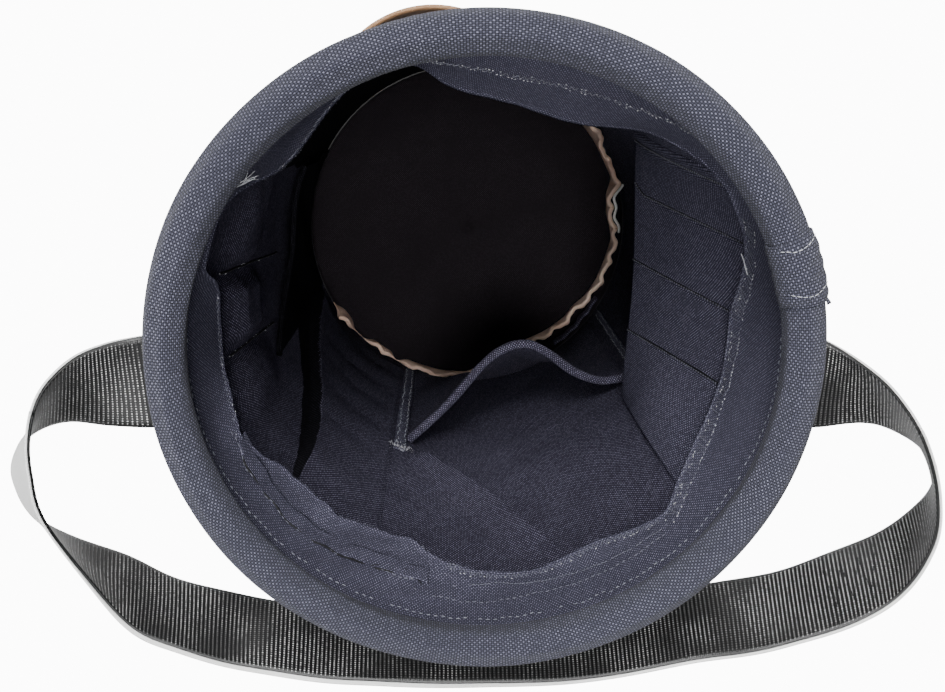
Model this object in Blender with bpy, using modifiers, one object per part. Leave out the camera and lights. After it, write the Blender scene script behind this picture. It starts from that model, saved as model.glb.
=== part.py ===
"""Round canvas tool bucket with a rolled hoop rim, leather base, sewn pockets and a webbing handle.

Metres, +Z up. The origin is the centre of the base's underside. -Y is the front,
where the handle hangs, and the handle's two sewn ends are at -X and +X.
"""

import math

import bmesh
import bpy
from mathutils import Vector

# Bucket
HEIGHT = 0.432
RIM_RADIUS = 0.1525
ROLL_RADIUS = 0.0095
SLEEVE_THICKNESS = 0.0022
GAP = 0.0003
WALL_RADIUS = 0.1420
WALL_THICKNESS = 0.0020
WALL_TOP = 0.4150
CANVAS = 0.0015
STEPS = 72
RIM_STEPS = 60

# Base
BOOT_HEIGHT = 0.060
BOOT_THICKNESS = 0.0022
BOOT_BASE = 0.0025
BOARD_THICKNESS = 0.0030
LINING_THICKNESS = 0.0012
SEAM_EDGE_TOP = 0.020

# Facing under the rim
FACING_TOP = 0.4110
FACING_BOTTOM = 0.3420
FACING_SAG = 0.024

# Inner pockets and panels
POCKET_BOTTOM = 0.022
FRONT_POCKET_TOP = 0.191
LEFT_POCKET_TOP = 0.164
LEFT_POCKET_RISE = 0.070
HEM_RADIUS = 0.0030
RIGHT_PANEL_TOP = 0.3380
RIGHT_PANEL_BOTTOM = 0.207
RIGHT_PANEL_CHORD = 0.1070

# Outer pockets
OUTER_POCKET_BOTTOM = 0.063
OUTER_POCKET_TOP = 0.280
OUTER_POCKET_BULGE = 0.0175
SEAM_LAND = 1.2

# Leather tool loop
LOOP_BOTTOM = 0.330
LOOP_TOP = 0.362
LOOP_LEATHER = 0.0024
LOOP_BULGE = 0.0165
LOOP_ARCH = (87.0, 119.0)
LOOP_ENDS = (79.0, 127.0)
RIVET_SHANK = 0.0020
RIVET_HEAD = 0.0042

# Handle
WEBBING_WIDTH = 0.048
WEBBING_THICKNESS = 0.0013
BACKING_THICKNESS = 0.0012
HANDLE_AXIS_Y = -0.020
HANDLE_AXIS_Z = 0.377
HANDLE_END_X = 0.1575

ROLL_CENTRE_RADIUS = RIM_RADIUS - ROLL_RADIUS
ROLL_CENTRE_Z = HEIGHT - ROLL_RADIUS
HOOP_RADIUS = ROLL_RADIUS - SLEEVE_THICKNESS - GAP
WALL_INNER = WALL_RADIUS - WALL_THICKNESS
SKIN_RADIUS = WALL_RADIUS + GAP
LINER_RADIUS = WALL_INNER - GAP


def clear_scene():
    for obj in list(bpy.data.objects):
        bpy.data.objects.remove(obj)


def new_collection(name):
    collection = bpy.data.collections.new(name)
    bpy.context.scene.collection.children.link(collection)
    return collection


def new_material(name, colour, roughness, metallic=0.0):
    material = bpy.data.materials.new(name)
    material.use_nodes = True
    shader = material.node_tree.nodes["Principled BSDF"]
    shader.inputs["Base Color"].default_value = (*colour, 1.0)
    shader.inputs["Roughness"].default_value = roughness
    shader.inputs["Metallic"].default_value = metallic
    material.diffuse_color = (*colour, 1.0)
    return material


def new_empty(name, location, parent=None):
    empty = bpy.data.objects.new(name, None)
    empty.location = location
    empty.parent = parent
    empty.empty_display_size = 0.02
    PARTS.objects.link(empty)
    return empty


def new_object(name, data, material, parent, location=(0, 0, 0)):
    obj = bpy.data.objects.new(name, data)
    obj.location = location
    obj.parent = parent
    data.materials.append(material)
    PARTS.objects.link(obj)
    return obj


def shade_smooth(mesh):
    for polygon in mesh.polygons:
        polygon.use_smooth = True


def turned(name, profile, closed, material, parent, steps=STEPS, location=(0, 0, 0)):
    """A ring or disc: the (radius, height) profile runs down its outer side, turned about Z."""
    count = len(profile)
    edges = [(i, i + 1) for i in range(count - 1)]
    if closed:
        edges.append((count - 1, 0))
    mesh = bpy.data.meshes.new(name)
    mesh.from_pydata([(radius, 0.0, height) for radius, height in profile], edges, [])
    obj = new_object(name, mesh, material, parent, location)
    screw = obj.modifiers.new("turn", "SCREW")
    screw.axis = "Z"
    screw.angle = math.tau
    screw.steps = steps
    screw.render_steps = steps
    screw.use_merge_vertices = True
    screw.merge_threshold = 0.00001
    screw.use_smooth_shade = True
    return obj


def shell(name, rows, thickness, material, parent, ring=False, location=(0, 0, 0)):
    """A cloth shell. Rows run upward and each row runs anticlockwise, so the face points out."""
    columns = len(rows[0])
    offset = Vector(location)
    points = [Vector(point) - offset for row in rows for point in row]
    faces = []
    for i in range(len(rows) - 1):
        for j in range(columns if ring else columns - 1):
            k = (j + 1) % columns
            faces.append((i * columns + j, i * columns + k, (i + 1) * columns + k, (i + 1) * columns + j))
    mesh = bpy.data.meshes.new(name)
    mesh.from_pydata(points, [], faces)
    shade_smooth(mesh)
    obj = new_object(name, mesh, material, parent, location)
    solid = obj.modifiers.new("thickness", "SOLIDIFY")
    solid.thickness = thickness
    solid.offset = -1.0
    solid.use_even_offset = True
    return obj


def cord_tube(name, path, radius, material, parent):
    """A rolled hem: a round tube along the path, as a welded mesh."""
    curve = bpy.data.curves.new(name + "_path", "CURVE")
    curve.dimensions = "3D"
    curve.bevel_depth = radius
    curve.bevel_resolution = 2
    curve.use_fill_caps = True
    spline = curve.splines.new("POLY")
    spline.points.add(len(path) - 1)
    for point, place in zip(spline.points, path):
        point.co = (*place, 1.0)
    guide = bpy.data.objects.new(name + "_path", curve)
    bpy.context.scene.collection.objects.link(guide)
    bpy.context.view_layer.update()
    mesh = bpy.data.meshes.new_from_object(guide)
    mesh.name = name
    bpy.data.objects.remove(guide)
    tube = bmesh.new()
    tube.from_mesh(mesh)
    bmesh.ops.remove_doubles(tube, verts=tube.verts, dist=0.000001)
    bmesh.ops.recalc_face_normals(tube, faces=tube.faces)
    tube.to_mesh(mesh)
    tube.free()
    mesh.materials.clear()
    shade_smooth(mesh)
    return new_object(name, mesh, material, parent)


def polar(radius, degrees, height):
    angle = math.radians(degrees)
    return Vector((radius * math.cos(angle), radius * math.sin(angle), height))


def spread(first, last, count):
    return [first + (last - first) * i / (count - 1) for i in range(count)]


def bump(degrees, centre, half_width):
    """1 at the centre, falling smoothly to 0 at half_width on each side."""
    distance = abs((degrees - centre + 180.0) % 360.0 - 180.0) / half_width
    if distance >= 1.0:
        return 0.0
    return 0.5 + 0.5 * math.cos(math.pi * distance)


def smooth_path(points, per_span):
    """A smooth path through the points, as a Catmull-Rom spline."""
    padded = [points[0] * 2 - points[1], *points, points[-1] * 2 - points[-2]]
    path = []
    for i in range(1, len(padded) - 2):
        a, b, c, d = padded[i - 1 : i + 3]
        for step in range(per_span):
            t = step / per_span
            path.append(
                0.5
                * (
                    b * 2
                    + (c - a) * t
                    + (a * 2 - b * 5 + c * 4 - d) * t**2
                    + (b * 3 - a - c * 3 + d) * t**3
                )
            )
    path.append(points[-1])
    return path


def make_rim():
    turned(
        "rim_hoop",
        [
            (
                ROLL_CENTRE_RADIUS + HOOP_RADIUS * math.cos(math.radians(angle)),
                ROLL_CENTRE_Z + HOOP_RADIUS * math.sin(math.radians(angle)),
            )
            for angle in range(90, -270, -36)
        ],
        True,
        PLASTIC,
        ROOT,
        steps=RIM_STEPS,
    )
    section = roll_section(ROLL_RADIUS, SLEEVE_THICKNESS, -58, 238, 10)
    turned("rim_sleeve", section, True, RIM_CANVAS, ROOT, steps=RIM_STEPS)
    section = roll_section(ROLL_RADIUS + 0.0019, 0.0012, -50, 200, 12)
    outside = section[: len(section) // 2]
    lap_angles = spread(12.5, 25.0, 5)
    rows = [[polar(radius, angle, height) for angle in lap_angles] for radius, height in outside]
    shell("rim_sleeve_lap", rows[::-1], 0.0012, RIM_CANVAS, ROOT)


def roll_section(radius, thickness, start, end, pieces):
    """The C-shaped section of the rim's canvas roll, open at its underside."""
    outer = spread(end, start, pieces + 1)
    section = []
    for angle in outer:
        turn = math.radians(angle)
        section.append((ROLL_CENTRE_RADIUS + radius * math.cos(turn), ROLL_CENTRE_Z + radius * math.sin(turn)))
    inner = radius - thickness
    for angle in reversed(outer):
        turn = math.radians(angle)
        section.append((ROLL_CENTRE_RADIUS + inner * math.cos(turn), ROLL_CENTRE_Z + inner * math.sin(turn)))
    return section


def make_wall():
    wall = turned(
        "outer_wall",
        [
            (WALL_INNER, WALL_TOP),
            (WALL_RADIUS, WALL_TOP),
            (WALL_RADIUS, BOOT_BASE + GAP),
            (WALL_INNER, BOOT_BASE + GAP),
        ],
        True,
        CANVAS_MAT,
        ROOT,
    )
    angles = spread(132.0, 144.0, 6)
    heights = spread(BOOT_HEIGHT + 0.003, 0.405, 6)
    rows = [[polar(SKIN_RADIUS + CANVAS, angle, height) for angle in angles] for height in heights]
    shell("wall_seam_tape", rows, CANVAS, CANVAS_MAT, ROOT)
    return wall


def make_facing():
    angles = [360.0 * i / STEPS for i in range(STEPS)]
    rows = []
    for height in spread(FACING_BOTTOM, FACING_TOP, 5):
        depth = (FACING_TOP - height) / (FACING_TOP - FACING_BOTTOM)
        row = []
        for angle in angles:
            sag = FACING_SAG * bump(angle, 76.0, 38.0) + 0.006 * bump(angle, 136.0, 22.0)
            row.append(polar(LINER_RADIUS - sag * depth**1.3, angle, height))
        rows.append(row)
    shell("inner_facing", rows, CANVAS, CANVAS_MAT, ROOT, ring=True)


def make_base():
    turned(
        "leather_boot",
        [
            (0.0, BOOT_BASE),
            (WALL_RADIUS + GAP, BOOT_BASE),
            (WALL_RADIUS + GAP, BOOT_HEIGHT),
            (WALL_RADIUS + GAP + BOOT_THICKNESS, BOOT_HEIGHT),
            (WALL_RADIUS + GAP + BOOT_THICKNESS, 0.004),
            (WALL_RADIUS + GAP + BOOT_THICKNESS - 0.004, 0.0),
            (0.0, 0.0),
        ],
        False,
        LEATHER,
        ROOT,
    )
    board_bottom = BOOT_BASE + GAP
    board_top = board_bottom + BOARD_THICKNESS
    lining_top = board_top + GAP + LINING_THICKNESS
    disc("floor_board", WALL_INNER - 0.0005, board_bottom, board_top, PLASTIC)
    disc("floor_lining", WALL_INNER - 0.0008, board_top + GAP, lining_top, LINING)
    edge_bottom = lining_top + GAP
    angles = [360.0 * i / STEPS for i in range(STEPS)]
    rows = []
    for height in (edge_bottom, (edge_bottom + SEAM_EDGE_TOP) / 2, SEAM_EDGE_TOP):
        lift = (height - edge_bottom) / (SEAM_EDGE_TOP - edge_bottom)
        row = []
        for angle in angles:
            wave = 0.0016 * lift * math.cos(math.radians(14 * angle))
            inset = 0.0115 * bump(angle, 325.0, 55.0)
            row.append(polar(WALL_INNER - 0.0022 - inset - wave, angle, height))
        rows.append(row)
    shell("leather_seam_edge", rows, 0.0016, LEATHER, ROOT, ring=True)


def disc(name, radius, bottom, top, material):
    turned(name, [(0.0, top), (radius, top), (radius, bottom), (0.0, bottom)], False, material, ROOT)


def front_hem_path():
    places = (
        (-0.0460, -0.1275),
        (-0.0180, -0.1000),
        (0.0070, -0.0700),
        (0.0230, -0.0575),
        (0.0390, -0.0540),
        (0.0540, -0.0610),
        (0.0730, -0.0750),
        (0.0920, -0.0820),
        (0.1100, -0.0800),
    )
    return smooth_path([Vector((x, y, FRONT_POCKET_TOP)) for x, y in places], 3)


def left_hem_path():
    """The left pocket's hem, which climbs towards the front."""
    path = []
    for angle in spread(150.0, 200.0, 15):
        rise = max(0.0, (angle - 176.0) / 22.0) ** 1.5
        radius = LINER_RADIUS - 0.0040 - 0.0070 * bump(angle, 175.0, 27.0)
        path.append(polar(radius, angle, LEFT_POCKET_TOP + LEFT_POCKET_RISE * rise))
    return path


def pocket_panel(name, hem, first, last):
    """A pocket's front: from an arc on the wall at its foot up to just under its hem."""
    rows = []
    for lift in spread(0.0, 1.0, 7):
        row = []
        for i, place in enumerate(hem):
            along = hem[min(i + 1, len(hem) - 1)] - hem[max(i - 1, 0)]
            steepness = along.length / math.hypot(along.x, along.y)
            top = place.z - (HEM_RADIUS + GAP) * steepness
            height = POCKET_BOTTOM + (top - POCKET_BOTTOM) * lift
            foot = polar(LINER_RADIUS - 0.0020, first + (last - first) * i / (len(hem) - 1), height)
            point = foot.lerp(place, lift**0.85)
            row.append(Vector((point.x, point.y, height)))
        rows.append(row)
    shell(name, rows, CANVAS, CANVAS_MAT, ROOT)


def make_inner_pockets():
    front = front_hem_path()
    pocket_panel("front_pocket", front, 250.0, 322.0)
    cord_tube("front_pocket_hem", front, HEM_RADIUS, CANVAS_MAT, ROOT)
    left = left_hem_path()
    pocket_panel("left_pocket", left, 150.0, 200.0)
    cord_tube("left_pocket_hem", left, HEM_RADIUS, CANVAS_MAT, ROOT)


def make_inner_panels():
    rows = []
    for height in spread(RIGHT_PANEL_BOTTOM, RIGHT_PANEL_TOP, 7):
        drop = (RIGHT_PANEL_TOP - height) / (RIGHT_PANEL_TOP - RIGHT_PANEL_BOTTOM)
        row = []
        for angle in spread(-39.0, 39.0, 27):
            chord = RIGHT_PANEL_CHORD / math.cos(math.radians(angle))
            row.append(polar(LINER_RADIUS - (LINER_RADIUS - chord) * drop**1.2, angle, height))
        rows.append(row)
    shell("right_panel", rows, CANVAS, CANVAS_MAT, ROOT)

    rows = []
    for height in spread(POCKET_BOTTOM, RIGHT_PANEL_TOP, 7):
        row = []
        for angle in spread(204.0, 245.0, 17):
            fold = 0.0035 * bump(angle, 210.0 + 40.0 * (height - 0.15), 5.0)
            row.append(polar(LINER_RADIUS - fold, angle, height))
        rows.append(row)
    shell("left_lining_panel", rows, CANVAS, CANVAS_MAT, ROOT)

    for name, centre, low, high in (
        ("seam_binding_front", 247.8, POCKET_BOTTOM, 0.205),
        ("seam_binding_right", 328.0, POCKET_BOTTOM, 0.200),
    ):
        angles = spread(centre - 1.4, centre + 1.4, 4)
        heights = spread(low, high, 6)
        rows = [[polar(LINER_RADIUS, angle, height) for angle in angles] for height in heights]
        shell(name, rows, 0.0030, CANVAS_MAT, ROOT)

    angles = spread(308.0, 333.0, 11)
    rows = [[polar(0.1285, angle, height) for angle in angles] for height in spread(0.0225, 0.0310, 3)]
    shell("seam_binding_base", rows, 0.0020, CANVAS_MAT, ROOT)


def outer_pockets(name, divisions):
    """A row of pockets on the outer wall, full between the seams that divide them."""
    angles = []
    for first, last in zip(divisions, divisions[1:]):
        angles += [first, *spread(first + SEAM_LAND, last - SEAM_LAND, 9)]
    angles.append(divisions[-1])
    rows = []
    for height in (0.063, 0.066, 0.078, 0.110, 0.160, 0.220, OUTER_POCKET_TOP):
        lift = min(1.0, (height - OUTER_POCKET_BOTTOM) / 0.10)
        row = []
        for angle in angles:
            across = 0.0
            for first, last in zip(divisions, divisions[1:]):
                if first + SEAM_LAND < angle < last - SEAM_LAND:
                    across = math.sin(math.pi * (angle - first - SEAM_LAND) / (last - first - 2 * SEAM_LAND))
            fullness = across**0.7 * math.sin(0.5 * math.pi * lift)
            row.append(polar(SKIN_RADIUS + CANVAS + OUTER_POCKET_BULGE * fullness, angle, height))
        rows.append(row)
    shell(name, rows, CANVAS, CANVAS_MAT, ROOT)


def make_loop(wall):
    angles = spread(LOOP_ENDS[0], LOOP_ARCH[0], 4)[:-1]
    angles += spread(LOOP_ARCH[0], LOOP_ARCH[1], 15)
    angles += spread(LOOP_ARCH[1], LOOP_ENDS[1], 4)[1:]
    rows = []
    for height in spread(LOOP_BOTTOM, LOOP_TOP, 3):
        row = []
        for angle in angles:
            across = max(0.0, math.sin(math.pi * (angle - LOOP_ARCH[0]) / (LOOP_ARCH[1] - LOOP_ARCH[0])))
            if not LOOP_ARCH[0] < angle < LOOP_ARCH[1]:
                across = 0.0
            row.append(polar(SKIN_RADIUS + LOOP_LEATHER + LOOP_BULGE * across**0.6, angle, height))
        rows.append(row)
    loop = shell("leather_tool_loop", rows, LOOP_LEATHER, LEATHER, ROOT)
    drill = []
    middle = (LOOP_BOTTOM + LOOP_TOP) / 2
    for index, angle in enumerate((LOOP_ENDS[0] + 4.2, LOOP_ENDS[1] - 4.2)):
        name = "loop_rivet_" + "ab"[index]
        centre = polar(SKIN_RADIUS + LOOP_LEATHER, angle, middle)
        outward = polar(1.0, angle, 0.0)
        make_rivet(name, centre, outward)
        drill.append((name + "_drill", centre, outward))
    for name, centre, outward in drill:
        cutter = make_drill(name, centre, outward)
        for piece in (loop, wall):
            cut = piece.modifiers.new("rivet_hole", "BOOLEAN")
            cut.operation = "DIFFERENCE"
            cut.solver = "EXACT"
            cut.object = cutter


def make_rivet(name, centre, outward):
    """A rivet with a low domed head outside and a flat burr inside the wall."""
    through = LOOP_LEATHER + GAP + WALL_THICKNESS
    rivet = turned(
        name,
        [
            (0.0, 0.0020),
            (0.0018, 0.0018),
            (0.0033, 0.0012),
            (RIVET_HEAD, 0.0004),
            (RIVET_HEAD - 0.0002, GAP),
            (RIVET_SHANK, GAP),
            (RIVET_SHANK, -through - GAP),
            (0.0036, -through - GAP),
            (0.0036, -through - 0.0013),
            (0.0, -through - 0.0013),
        ],
        False,
        STEEL,
        ROOT,
        steps=20,
    )
    rivet.location = centre
    rivet.rotation_euler = outward.to_track_quat("Z", "Y").to_euler()


def make_drill(name, centre, outward):
    mesh = bpy.data.meshes.new(name)
    body = bmesh.new()
    bmesh.ops.create_cone(
        body, cap_ends=True, segments=16, radius1=RIVET_SHANK + 0.0003, radius2=RIVET_SHANK + 0.0003, depth=0.02
    )
    body.to_mesh(mesh)
    body.free()
    cutter = bpy.data.objects.new(name, mesh)
    cutter.location = centre
    cutter.rotation_euler = outward.to_track_quat("Z", "Y").to_euler()
    cutter.hide_render = True
    cutter.display_type = "WIRE"
    CUTTERS.objects.link(cutter)
    return cutter


def handle_sections():
    """Pairs of edge points along the strap, upper edge then lower edge, in millimetres."""
    left = (
        ((-159.5, 4, 378), (-159.5, -44, 375)),
        ((-168, 4, 383), (-167, -44, 379)),
        ((-183, 1, 386), (-189, -45, 373)),
        ((-199, -6, 389), (-213, -46, 364)),
        ((-213, -20, 394), (-231, -52, 360)),
        ((-219, -38, 399), (-244, -63, 358)),
        ((-220, -60, 401), (-250, -82, 358)),
        ((-215, -90, 400), (-239, -108, 357)),
        ((-186, -141, 398), (-199, -130, 353)),
        ((-157, -161, 397), (-167, -148, 352)),
        ((-105, -177, 396), (-110, -162, 352)),
        ((-50, -183, 396), (-52, -168, 351)),
    )
    right = (
        ((50, -183, 396), (52, -168, 351)),
        ((112, -171, 397), (117, -155, 352)),
        ((162, -161, 398), (170, -143, 354)),
        ((211, -138, 399), (221, -121, 355)),
        ((230, -105, 400), (247, -98, 356)),
        ((230, -75, 400), (250, -79, 357)),
        ((219, -45, 398), (239, -64, 358)),
        ((203, -22, 393), (221, -53, 361)),
        ((187, -8, 388), (201, -47, 367)),
        ((170, 2, 383), (170, -45, 379)),
        ((159.5, 4, 378), (159.5, -44, 375)),
    )
    middle = (((0, -184, 396), (0, -169, 351)),)
    return [(Vector(upper) / 1000, Vector(lower) / 1000) for upper, lower in (*left, *middle, *right)]


def end_rows(side, shift):
    """The sewn end: flat on the wall, then turning out below the rim to the pivot."""
    rows = []
    for y in spread(HANDLE_AXIS_Y - WEBBING_WIDTH / 2, HANDLE_AXIS_Y + WEBBING_WIDTH / 2, 7):
        on_wall = math.sqrt((SKIN_RADIUS + WEBBING_THICKNESS + GAP) ** 2 - y * y)
        points = [Vector((side * on_wall, y, height)) for height in (0.298, 0.314, 0.330, 0.345, 0.356)]
        for out, height in ((0.20, 0.3645), (0.60, 0.3720), (1.00, 0.3765)):
            points.append(Vector((side * (on_wall + (HANDLE_END_X - on_wall) * out), y, height)))
        path = smooth_path(points, 3)
        if side > 0:
            path.reverse()
        row = []
        for j, point in enumerate(path):
            along = path[min(j + 1, len(path) - 1)] - path[max(j - 1, 0)]
            row.append(point + along.cross(Vector((0, 1, 0))).normalized() * shift)
        rows.append(row)
    return rows


def strap_rows(sections, per_span, across, shift):
    """Rows from the lower to the upper edge, moved by shift along the strap's outer side."""
    upper = smooth_path([section[0] for section in sections], per_span)
    lower = smooth_path([section[1] for section in sections], per_span)
    count = len(upper)
    grid = [[b.lerp(a, k / (across - 1)) for a, b in zip(upper, lower)] for k in range(across)]
    rows = []
    for k in range(across):
        row = []
        for j in range(count):
            along = grid[k][min(j + 1, count - 1)] - grid[k][max(j - 1, 0)]
            width = upper[j] - lower[j]
            row.append(grid[k][j] + along.cross(width).normalized() * shift)
        rows.append(row)
    return rows


def make_handle():
    pivot = new_empty("handle_pivot", (0.0, HANDLE_AXIS_Y, HANDLE_AXIS_Z), ROOT)
    pivot_place = (0.0, HANDLE_AXIS_Y, HANDLE_AXIS_Z)
    sections = handle_sections()
    half_gap = GAP / 2
    for name, shift, thickness, material in (
        ("handle_webbing", -half_gap, WEBBING_THICKNESS, WEBBING),
        ("handle_backing", half_gap + BACKING_THICKNESS, BACKING_THICKNESS, BACKING),
    ):
        rows = strap_rows(sections, 4, 3, shift)
        strap = shell(name, rows, thickness, material, pivot, location=pivot_place)
        strap.location = (0.0, 0.0, 0.0)
    for name, side in (("handle_end_left", -1.0), ("handle_end_right", 1.0)):
        rows = end_rows(side, BACKING_THICKNESS)
        shell(name, rows, WEBBING_THICKNESS + BACKING_THICKNESS, WEBBING, ROOT)


clear_scene()
PARTS = new_collection("tool_bucket")
CUTTERS = new_collection("tool_bucket_cutters")
CUTTERS.hide_render = True
RIM_CANVAS = new_material("rim_canvas", (0.055, 0.065, 0.105), 0.85)
CANVAS_MAT = new_material("canvas", (0.035, 0.038, 0.060), 0.9)
LINING = new_material("floor_lining", (0.020, 0.017, 0.018), 0.9)
LEATHER = new_material("leather", (0.52, 0.33, 0.20), 0.6)
WEBBING = new_material("webbing", (0.012, 0.012, 0.013), 0.55)
BACKING = new_material("backing", (0.80, 0.80, 0.78), 0.7)
PLASTIC = new_material("plastic", (0.03, 0.03, 0.03), 0.5)
STEEL = new_material("rivet_steel", (0.45, 0.44, 0.42), 0.35, 1.0)
ROOT = new_empty("bucket_base", (0.0, 0.0, 0.0))
make_rim()
outer_wall = make_wall()
make_facing()
make_base()
make_inner_pockets()
make_inner_panels()
outer_pockets("outer_pockets_right", (-33.0, -16.0, 1.0, 17.5, 34.0, 50.0))
outer_pockets("outer_pockets_left", (150.0, 169.5, 189.0, 208.5))
outer_pockets("outer_pockets_front", (240.0, 268.0, 296.0))
make_loop(outer_wall)
make_handle()
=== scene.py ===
import math

import bpy
import numpy as np
from mathutils import Matrix, Vector


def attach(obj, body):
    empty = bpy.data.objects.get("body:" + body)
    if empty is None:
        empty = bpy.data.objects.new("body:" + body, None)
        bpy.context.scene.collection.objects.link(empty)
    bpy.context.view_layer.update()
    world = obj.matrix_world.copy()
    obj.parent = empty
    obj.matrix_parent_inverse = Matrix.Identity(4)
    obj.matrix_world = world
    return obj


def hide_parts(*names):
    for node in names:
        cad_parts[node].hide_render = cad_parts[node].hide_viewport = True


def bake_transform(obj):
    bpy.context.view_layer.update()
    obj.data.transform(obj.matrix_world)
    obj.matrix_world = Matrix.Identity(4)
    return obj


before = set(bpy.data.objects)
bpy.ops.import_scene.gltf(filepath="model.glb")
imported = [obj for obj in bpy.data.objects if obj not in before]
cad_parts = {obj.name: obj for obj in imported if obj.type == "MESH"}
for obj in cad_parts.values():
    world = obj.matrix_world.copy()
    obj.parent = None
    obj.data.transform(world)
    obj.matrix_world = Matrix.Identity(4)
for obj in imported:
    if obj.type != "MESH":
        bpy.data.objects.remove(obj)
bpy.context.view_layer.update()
BUCKET = "bucket"
HANDLE = "handle"

# Sizes from the CAD, in metres
RIM_R = 0.1525
ROLL = 0.0095
ROLL_C = RIM_R - ROLL
ROLL_Z = 0.432 - ROLL
WALL_OUT = 0.142
WALL_IN = 0.14


# ---------------------------------------------------------------- numbers
def rad(d):
    return np.radians(d)


def table(points):
    """A smooth closed curve through (angle, value) points, as a function of the angle."""
    pts = sorted((a % 360.0, v) for a, v in points)
    a, v = np.array(pts).T
    grid = np.arange(0, 360.0, 0.5)
    line = np.interp(grid, np.concatenate([a - 360.0, a, a + 360.0]), np.tile(v, 3))
    k = np.hanning(13)
    wrapped = np.concatenate([line[-12:], line, line[:12]])
    soft = np.convolve(wrapped, k / k.sum(), "same")[12:-12]
    return lambda x: np.interp(np.asarray(x) % 360.0, grid, soft, period=360.0)


def hill(x, centre, half):
    d = np.abs((np.asarray(x, float) - centre) / half)
    return np.where(d < 1, 0.5 + 0.5 * np.cos(np.pi * np.minimum(d, 1)), 0.0)


def bump(theta, centre, half):
    """A hill in degrees, which wraps round."""
    return hill((np.asarray(theta, float) - centre + 180.0) % 360.0 - 180.0, 0.0, half)


def step(x, a, b):
    t = np.clip((np.asarray(x, float) - a) / (b - a), 0, 1)
    return t * t * (3 - 2 * t)


def ripple(theta, z, seed, scale, top=9):
    """Smooth unevenness over a wall: theta in degrees, z in metres."""
    rng = np.random.default_rng(seed)
    out = 0
    for _ in range(14):
        n = rng.integers(1, top)
        m = rng.uniform(4, 34)
        size = rng.normal()
        wave = np.sin(n * rad(theta) + m * np.asarray(z) * 3 + rng.uniform(0, 6.3))
        out = out + size * wave / (1 + n * 0.25)
    return out * scale / 3.0


def polar(r, theta, z):
    t = rad(theta)
    r, t, z = np.broadcast_arrays(np.asarray(r, float), t, np.asarray(z, float))
    return np.stack([r * np.cos(t), r * np.sin(t), z], -1)


def unit(v):
    return v / np.maximum(np.linalg.norm(v, axis=-1, keepdims=True), 1e-12)


def catmull(points, per):
    p = np.asarray(points, float)
    p = np.vstack([2 * p[0] - p[1], p, 2 * p[-1] - p[-2]])
    out = []
    for i in range(1, len(p) - 2):
        a, b, c, d = p[i - 1 : i + 3]
        t = (np.arange(per) / per)[:, None]
        out.append(
            0.5 * (2 * b + (c - a) * t + (2 * a - 5 * b + 4 * c - d) * t**2 + (3 * b - a - 3 * c + d) * t**3)
        )
    out.append(p[-2][None])
    return np.vstack(out)


def arc_length(path):
    """The distance along a path at each of its points."""
    return np.concatenate([[0], np.cumsum(np.linalg.norm(np.diff(path, axis=0), axis=1))])


def at_distances(path, s, at):
    return np.stack([np.interp(at, s, path[:, k]) for k in range(3)], 1)


def resample(path, spacing, *others):
    """The path at even spacing, and the others at the same distances."""
    path = np.asarray(path, float)
    s = arc_length(path)
    at = np.linspace(0, s[-1], max(2, int(round(s[-1] / spacing)) + 1))
    res = [at_distances(q, s, at) for q in (path, *others)]
    return res if others else res[0]


# ---------------------------------------------------------------- meshes
def mesh_object(name, verts, faces, material, uv_loops=None):
    mesh = bpy.data.meshes.new(name)
    verts = np.asarray(verts, np.float32)
    mesh.vertices.add(len(verts))
    mesh.vertices.foreach_set("co", verts.ravel())
    sizes = np.concatenate([np.full(len(f), f.shape[1]) for f in faces])
    loops = np.concatenate([f.ravel() for f in faces]).astype(np.int32)
    mesh.loops.add(len(loops))
    mesh.loops.foreach_set("vertex_index", loops)
    mesh.polygons.add(len(sizes))
    starts = np.concatenate([[0], np.cumsum(sizes)[:-1]]).astype(np.int32)
    mesh.polygons.foreach_set("loop_start", starts)
    if uv_loops is not None:
        layer = mesh.uv_layers.new(name="weave")
        layer.data.foreach_set("uv", np.asarray(uv_loops, np.float32).ravel())
    mesh.update(calc_edges=True)
    mesh.validate()
    mesh.polygons.foreach_set("use_smooth", np.full(len(mesh.polygons), True))
    mesh.materials.append(material)
    obj = bpy.data.objects.new(name, mesh)
    bpy.context.scene.collection.objects.link(obj)
    return obj


def grid_normals(P, closed=False):
    du = np.roll(P, -1, 1) - np.roll(P, 1, 1) if closed else np.gradient(P, axis=1)
    return unit(np.cross(du, np.gradient(P, axis=0)))


def settle(obj, body=BUCKET, replaces=(), slot=None):
    """Hides the parts a piece stands for and attaches it to the body it rides on; slot is not used."""
    if replaces:
        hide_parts(*replaces)
    if body:
        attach(obj, body)


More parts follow.
